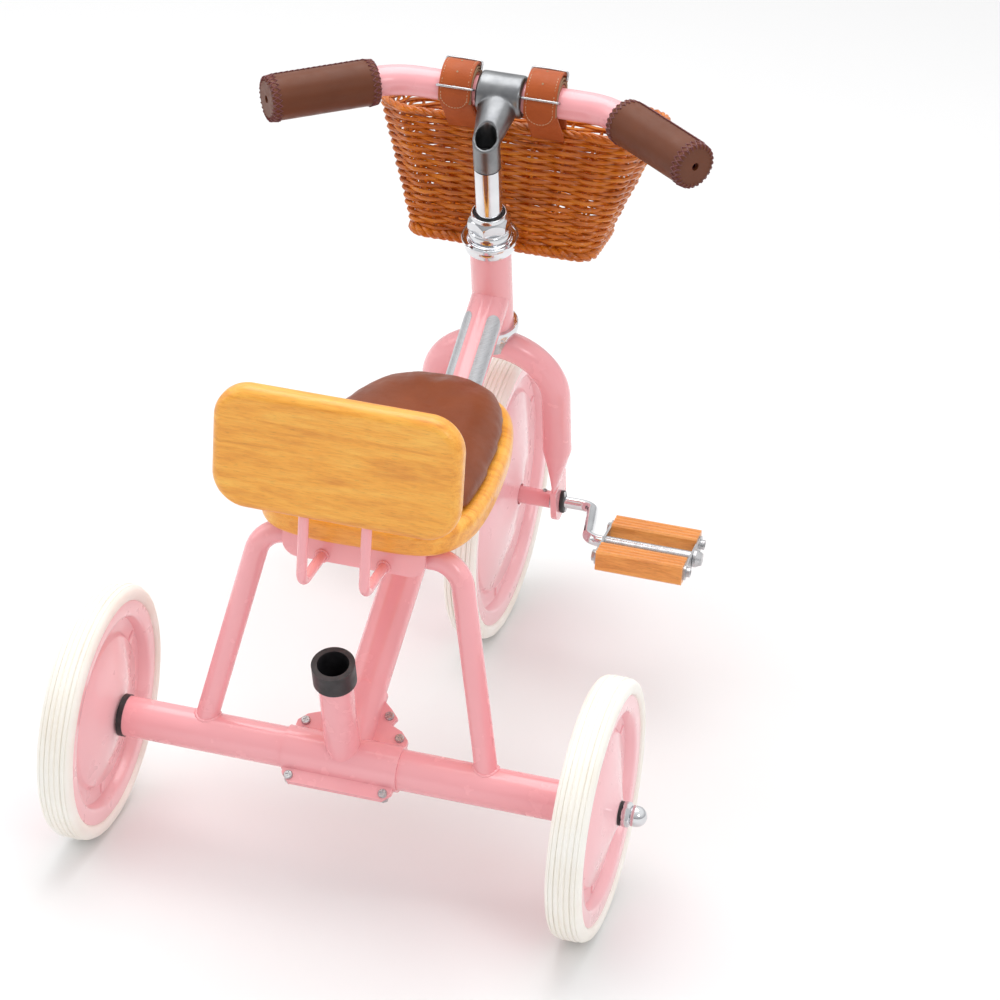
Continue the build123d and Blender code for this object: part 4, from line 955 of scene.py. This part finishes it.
def end_lacing(spot_on, end, inward, phase):
    """One of the two crossing threads laced over a grip's end."""
    run = []
    for step in range(2 * END_STITCHES):
        turn = pi * step / END_STITCHES
        if (step + phase) % 2:
            run.append((spot_on(turn, end + inward * 7.2, GRIP_RADIUS + 0.35), 1.0))
        else:
            run.append((spot_on(turn, end + inward * 0.9, GRIP_RADIUS - 0.4), 1.0))
            run.append((spot_on(turn + 0.03, end - inward * 0.45, GRIP_RADIUS - 3.4), 1.0))
            run.append((spot_on(turn + 0.06, end + inward * 0.9, GRIP_RADIUS - 0.4), 1.0))
    return run + run[:1]


def seam_lacing(spot_on, phase):
    """One of the two crossing threads of the seam along a grip."""
    run = []
    for step in range(SEAM_STEPS):
        turn = SEAM_TURN + (SEAM_HALF if (step + phase) % 2 else -SEAM_HALF)
        run.append((spot_on(turn, SEAM_START + step * SEAM_PITCH, GRIP_RADIUS + 0.6), 1.0))
    return run


def grip_stitching(side):
    """Crossed stitches round both ends of one grip, and one crossed seam along it."""
    tip = Vector((288, side * 176, 514))
    ahead = (Vector((BAR.x, side * 88, BAR.z)) - tip).normalized()
    level = ahead.cross(UP).normalized() * side
    high = level.cross(ahead) * side

    def spot_on(turn, along, reach):
        return at(*(tip + ahead * along + (level * cos(turn) + high * sin(turn)) * reach))

    runs = []
    for end, inward in ((0.0, 1), (GRIP_LENGTH, -1)):
        for phase in (0, 1):
            runs.append(end_lacing(spot_on, end, inward, phase))
    for phase in (0, 1):
        runs.append(seam_lacing(spot_on, phase))
    return rods(runs, 0.55 * MM)


for hand, side in (("left", 1), ("right", -1)):
    settle(grip_stitching(side), hand + "_grip_stitching", "burgundy_thread", "steering")


# ---- headset and stem
def seat_on_steerer(stations, name, look, body):
    return settle(turned(stations, 96), name, look, body, STEER_TURN, 35)


CUP = [(13.2, 268.5), (15.0, 268.5), (15.1, 278.0), (20.2, 278.0), (20.8, 278.5), (21.0, 279.3)]
CUP += [(21.0, 283.2), (20.7, 284.3), (19.9, 284.9), (18.7, 285.0), (18.6, 280.1), (13.2, 280.0)]
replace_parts(seat_on_steerer(CUP, "upper_bearing_cup", "chrome", "frame"), "upper_cup")
CUPS_APART = 474.5
LOW_CUP = [(r, CUPS_APART - h) for r, h in CUP[:7]]
LOW_CUP += [(20.5, 188.9), (19.4, 188.1), (18.7, 188.0), (18.6, 193.0), (13.2, 193.1)]
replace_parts(seat_on_steerer(LOW_CUP, "lower_bearing_cup", "chrome", "frame"), "lower_cup")
DISH = [(12.8, 284.4), (17.4, 284.4), (17.8, 285.3), (21.6, 285.5), (22.9, 286.2), (23.4, 287.6)]
DISH += [(23.6, 289.4), (23.2, 289.7), (22.8, 288.6), (22.0, 287.7), (20.6, 287.2), (18.9, 287.4)]
DISH += [(18.2, 288.2), (18.0, 289.6), (17.9, 294.0), (17.4, 296.4)]
DISH += [(16.6, 297.6), (15.8, 298.1), (12.8, 298.1)]
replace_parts(seat_on_steerer(DISH, "cone_and_dust_dish", "chrome", "steering"), "adjusting_cone")
WASHER = [(12.8, 298.2), (17.0, 298.2), (17.5, 298.7), (17.5, 299.3), (17.0, 299.7), (12.8, 299.7)]
seat_on_steerer(WASHER, "headset_washer", "chrome", "steering")
NUT = [(12.8, 299.8), (17.4, 299.8), (18.7, 300.8), (18.7, 305.4), (17.4, 307.6)]
NUT += [(15.8, 309.6), (15.0, 310.8), (14.9, 313.2), (14.5, 314.0)]
NUT += [(13.8, 314.2), (13.2, 313.9), (13.0, 312.3), (12.8, 312.1)]
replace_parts(chamfered_nut(32, NUT, "headset_nut", "chrome", "steering", STEER_TURN), "locknut")
# Painted shade: a thin black ring put in the nut's top recess round the quill, standing for the shadow down
# there, not for a real seal.
SHADOW = [(11.2, 312.1), (12.9, 312.1), (12.9, 312.6), (12.2, 312.9), (11.2, 312.9)]
seat_on_steerer(SHADOW, "stem_shade_ring", "black_plastic", "steering")


SAME_PLACE = 0.01 * MM


def own_copy(source):
    """Copy of a CAD node with its own mesh."""
    piece = frame["nodes"][source].copy()
    piece.data = piece.data.copy()
    bpy.context.collection.objects.link(piece)
    piece.parent = None
    return piece


def merged(piece):
    """Joins the loose triangles of a copied node at their corners."""
    alone(piece)
    bpy.ops.object.mode_set(mode="EDIT")
    bpy.ops.mesh.select_all(action="SELECT")
    bpy.ops.mesh.remove_doubles(threshold=SAME_PLACE)
    bpy.ops.object.mode_set(mode="OBJECT")


def softened(source, name, look, body, voxel, rounds):
    """Casting with blended corners, from a CAD node's own shape."""
    piece = own_copy(source)
    merged(piece)
    applied(piece, "REMESH", mode="VOXEL", voxel_size=voxel)
    applied(piece, "SMOOTH", factor=0.5, iterations=rounds)
    return settle(piece, name, look, body, smooth=60)


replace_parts(softened("stem_head", "stem_casting", "cast_aluminium", "steering", 0.9 * MM, 10), "stem_head")


# ---- weld beads
AXLE_TUBE = 16.0
ARCH_PIPE = 9.2
ARCH_FOOT, ARCH_LEAN = 115.5, (0.1, 0.21)
ROD_JOINT, ROD_ASIDE, ROD_BEAD = (-2.2, 274.5), 24.2, 4.6


def weld(name, beads, thick):
    """Rippled beads along runs of points in mm."""
    runs = []
    for bead in beads:
        run = []
        for step, place in enumerate(bead):
            swell = 1.0 + 0.16 * cos(step * 2.1) + chance.uniform(-0.06, 0.06)
            run.append((at(*place), swell))
        runs.append(run)
    settle(rods(runs, thick * MM, sides=3), name, "pink_paint", "frame")


def saddle(foot, lean, pipe, trunk):
    """Points where a pipe leaning in X and Y meets a trunk running along Y, all the way round."""
    run = []
    for step in range(49):
        turn = 2 * pi * step / 48
        x, y = pipe * cos(turn), pipe * sin(turn)
        rise = sqrt(max(0.0, trunk * trunk - x * x))
        run.append((foot[0] + x + lean[0] * rise, foot[1] + y + lean[1] * rise, foot[2] + rise))
    return run


def upright_ring(middle, radius):
    """Circle of points about a middle, in a plane across X."""
    level = Vector((0, 1, 0))
    return [tuple(middle + (level * cos(pi * s / 24) + UP * sin(pi * s / 24)) * radius) for s in range(49)]


arch_feet = []
rod_joints = []
for side in (-1, 1):
    foot = (0.0, side * ARCH_FOOT, float(REAR_RADIUS))
    arch_feet.append(saddle(foot, (ARCH_LEAN[0], -side * ARCH_LEAN[1]), ARCH_PIPE, AXLE_TUBE))
    rod_joints.append(upright_ring(Vector((ROD_JOINT[0], side * ROD_ASIDE, ROD_JOINT[1])), ROD_BEAD))
weld("arch_foot_welds", arch_feet, 1.5)
weld("backrest_rod_welds", rod_joints, 1.1)


# ---- crank bearings and socket sleeve
FLANGE_BORE, FLANGE_RADIUS, FLANGE_STRETCH = 5.3, 7.6, 1.55
BOLT_ASIDE = 8.9


def flange(outer):
    """Oval plastic flange, turned round and then drawn out towards its two bolts."""
    edge = [(FLANGE_BORE, outer - 3.5), (7.4, outer - 3.5), (FLANGE_RADIUS, outer - 1.0)]
    edge += [(7.2, outer - 0.3), (6.6, outer), (FLANGE_BORE, outer)]
    plate = turned(edge, 64)
    for corner in plate.data.vertices:
        if hypot(corner.co.x, corner.co.y) > 6 * MM:
            corner.co.y *= FLANGE_STRETCH
    return plate


def bolt_head(outer, end):
    """Low round head on one end of the flange."""
    dome = [(0.3, outer + 1.2), (1.3, outer + 1.1), (2.2, outer + 0.7)]
    dome += [(2.5, outer), (2.5, outer - 0.6), (0.3, outer - 0.6)]
    head = turned(dome, 24)
    head.location = (0, end * BOLT_ASIDE * MM, 0)
    alone(head)
    bpy.ops.object.transform_apply(location=True)
    return head


def bearing_plate(side):
    """Flange and its two bolts round the crank axle, on the outside of one fork end."""
    hand = "left" if side > 0 else "right"
    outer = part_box("axle_bearings")[1][1] / MM
    turn = STEER_TURN @ Matrix.Rotation(-side * pi / 2, 4, "X")
    plate = settle(flange(outer), hand + "_bearing_flange", "black_plastic", "steering", turn)
    heads = joined([bolt_head(outer, end) for end in (-1, 1)])
    settle(heads, hand + "_bearing_bolts", "zinc_steel", "steering", turn)
    return plate, heads


plate, heads = bearing_plate(1)
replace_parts(plate, "axle_bearings")
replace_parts(heads, "bearing_screws")
bearing_plate(-1)
SLEEVE = [(12.28, 50), (12.28, 112.4), (12.14, 112.4), (12.14, 50)]
SOCKET_LEAN = radians(21.2)
SOCKET_TURN = Matrix.Translation(at(0, 0, REAR_RADIUS)) @ Matrix.Rotation(-SOCKET_LEAN, 4, "Y")
settle(turned(SLEEVE, 64), "socket_sleeve", "black_plastic", "frame", SOCKET_TURN)


# ---- seat cushion
PAD_VOXEL = 5 * MM
PRESSURE, AIR_STEPS = 4.0, 20
SWELL_LIMIT = 6 * MM
FLAT_BAND, HELD_BAND, LOWERED = 2 * MM, 3 * MM, 4 * MM


def shrink_pad(piece, low, high):
    """Pulls the sides in and the top down, so that the pad has room to swell."""
    middle = (Vector(low) + Vector(high)) / 2
    for corner in piece.data.vertices:
        corner.co.x = middle.x + (corner.co.x - middle.x) * 0.985
        corner.co.y = middle.y + (corner.co.y - middle.y) * 0.975
        if corner.co.z > low[2] + FLAT_BAND:
            corner.co.z -= LOWERED


def inflate(piece, low):
    """Swells the pad by air pressure, held along its foot, with each point's move capped."""
    start = [corner.co.copy() for corner in piece.data.vertices]
    alone(piece)
    air = piece.modifiers.new("air", "CLOTH")
    air.settings.use_pressure = True
    air.settings.uniform_pressure_force = PRESSURE
    air.settings.vertex_group_mass = "held"
    air.settings.effector_weights.gravity = 0.0
    for step in range(1, AIR_STEPS + 1):
        bpy.context.scene.frame_set(step)
    bpy.ops.object.modifier_apply(modifier=air.name)
    for corner, before in zip(piece.data.vertices, start):
        move = corner.co - before
        if move.length > SWELL_LIMIT:
            corner.co = before + move.normalized() * SWELL_LIMIT
        corner.co.z = max(corner.co.z, low[2] + 0.2 * MM)


def padded_seat():
    """Foam pad under leatherette, swollen from a slightly smaller shape, flat where it rests."""
    piece = own_copy("seat_cushion")
    low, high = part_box("seat_cushion")
    shrink_pad(piece, low, high)
    merged(piece)
    applied(piece, "REMESH", mode="VOXEL", voxel_size=PAD_VOXEL)
    held = piece.vertex_groups.new(name="held")
    foot = [corner.index for corner in piece.data.vertices if corner.co.z < low[2] + HELD_BAND]
    held.add(foot, 1.0, "REPLACE")
    inflate(piece, low)
    applied(piece, "SMOOTH", factor=0.5, iterations=4)
    applied(piece, "SUBSURF", levels=1, render_levels=1)
    settle(piece, "padded_seat", "seat_leather", "frame", smooth=60)
    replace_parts(piece, "seat_cushion")


padded_seat()
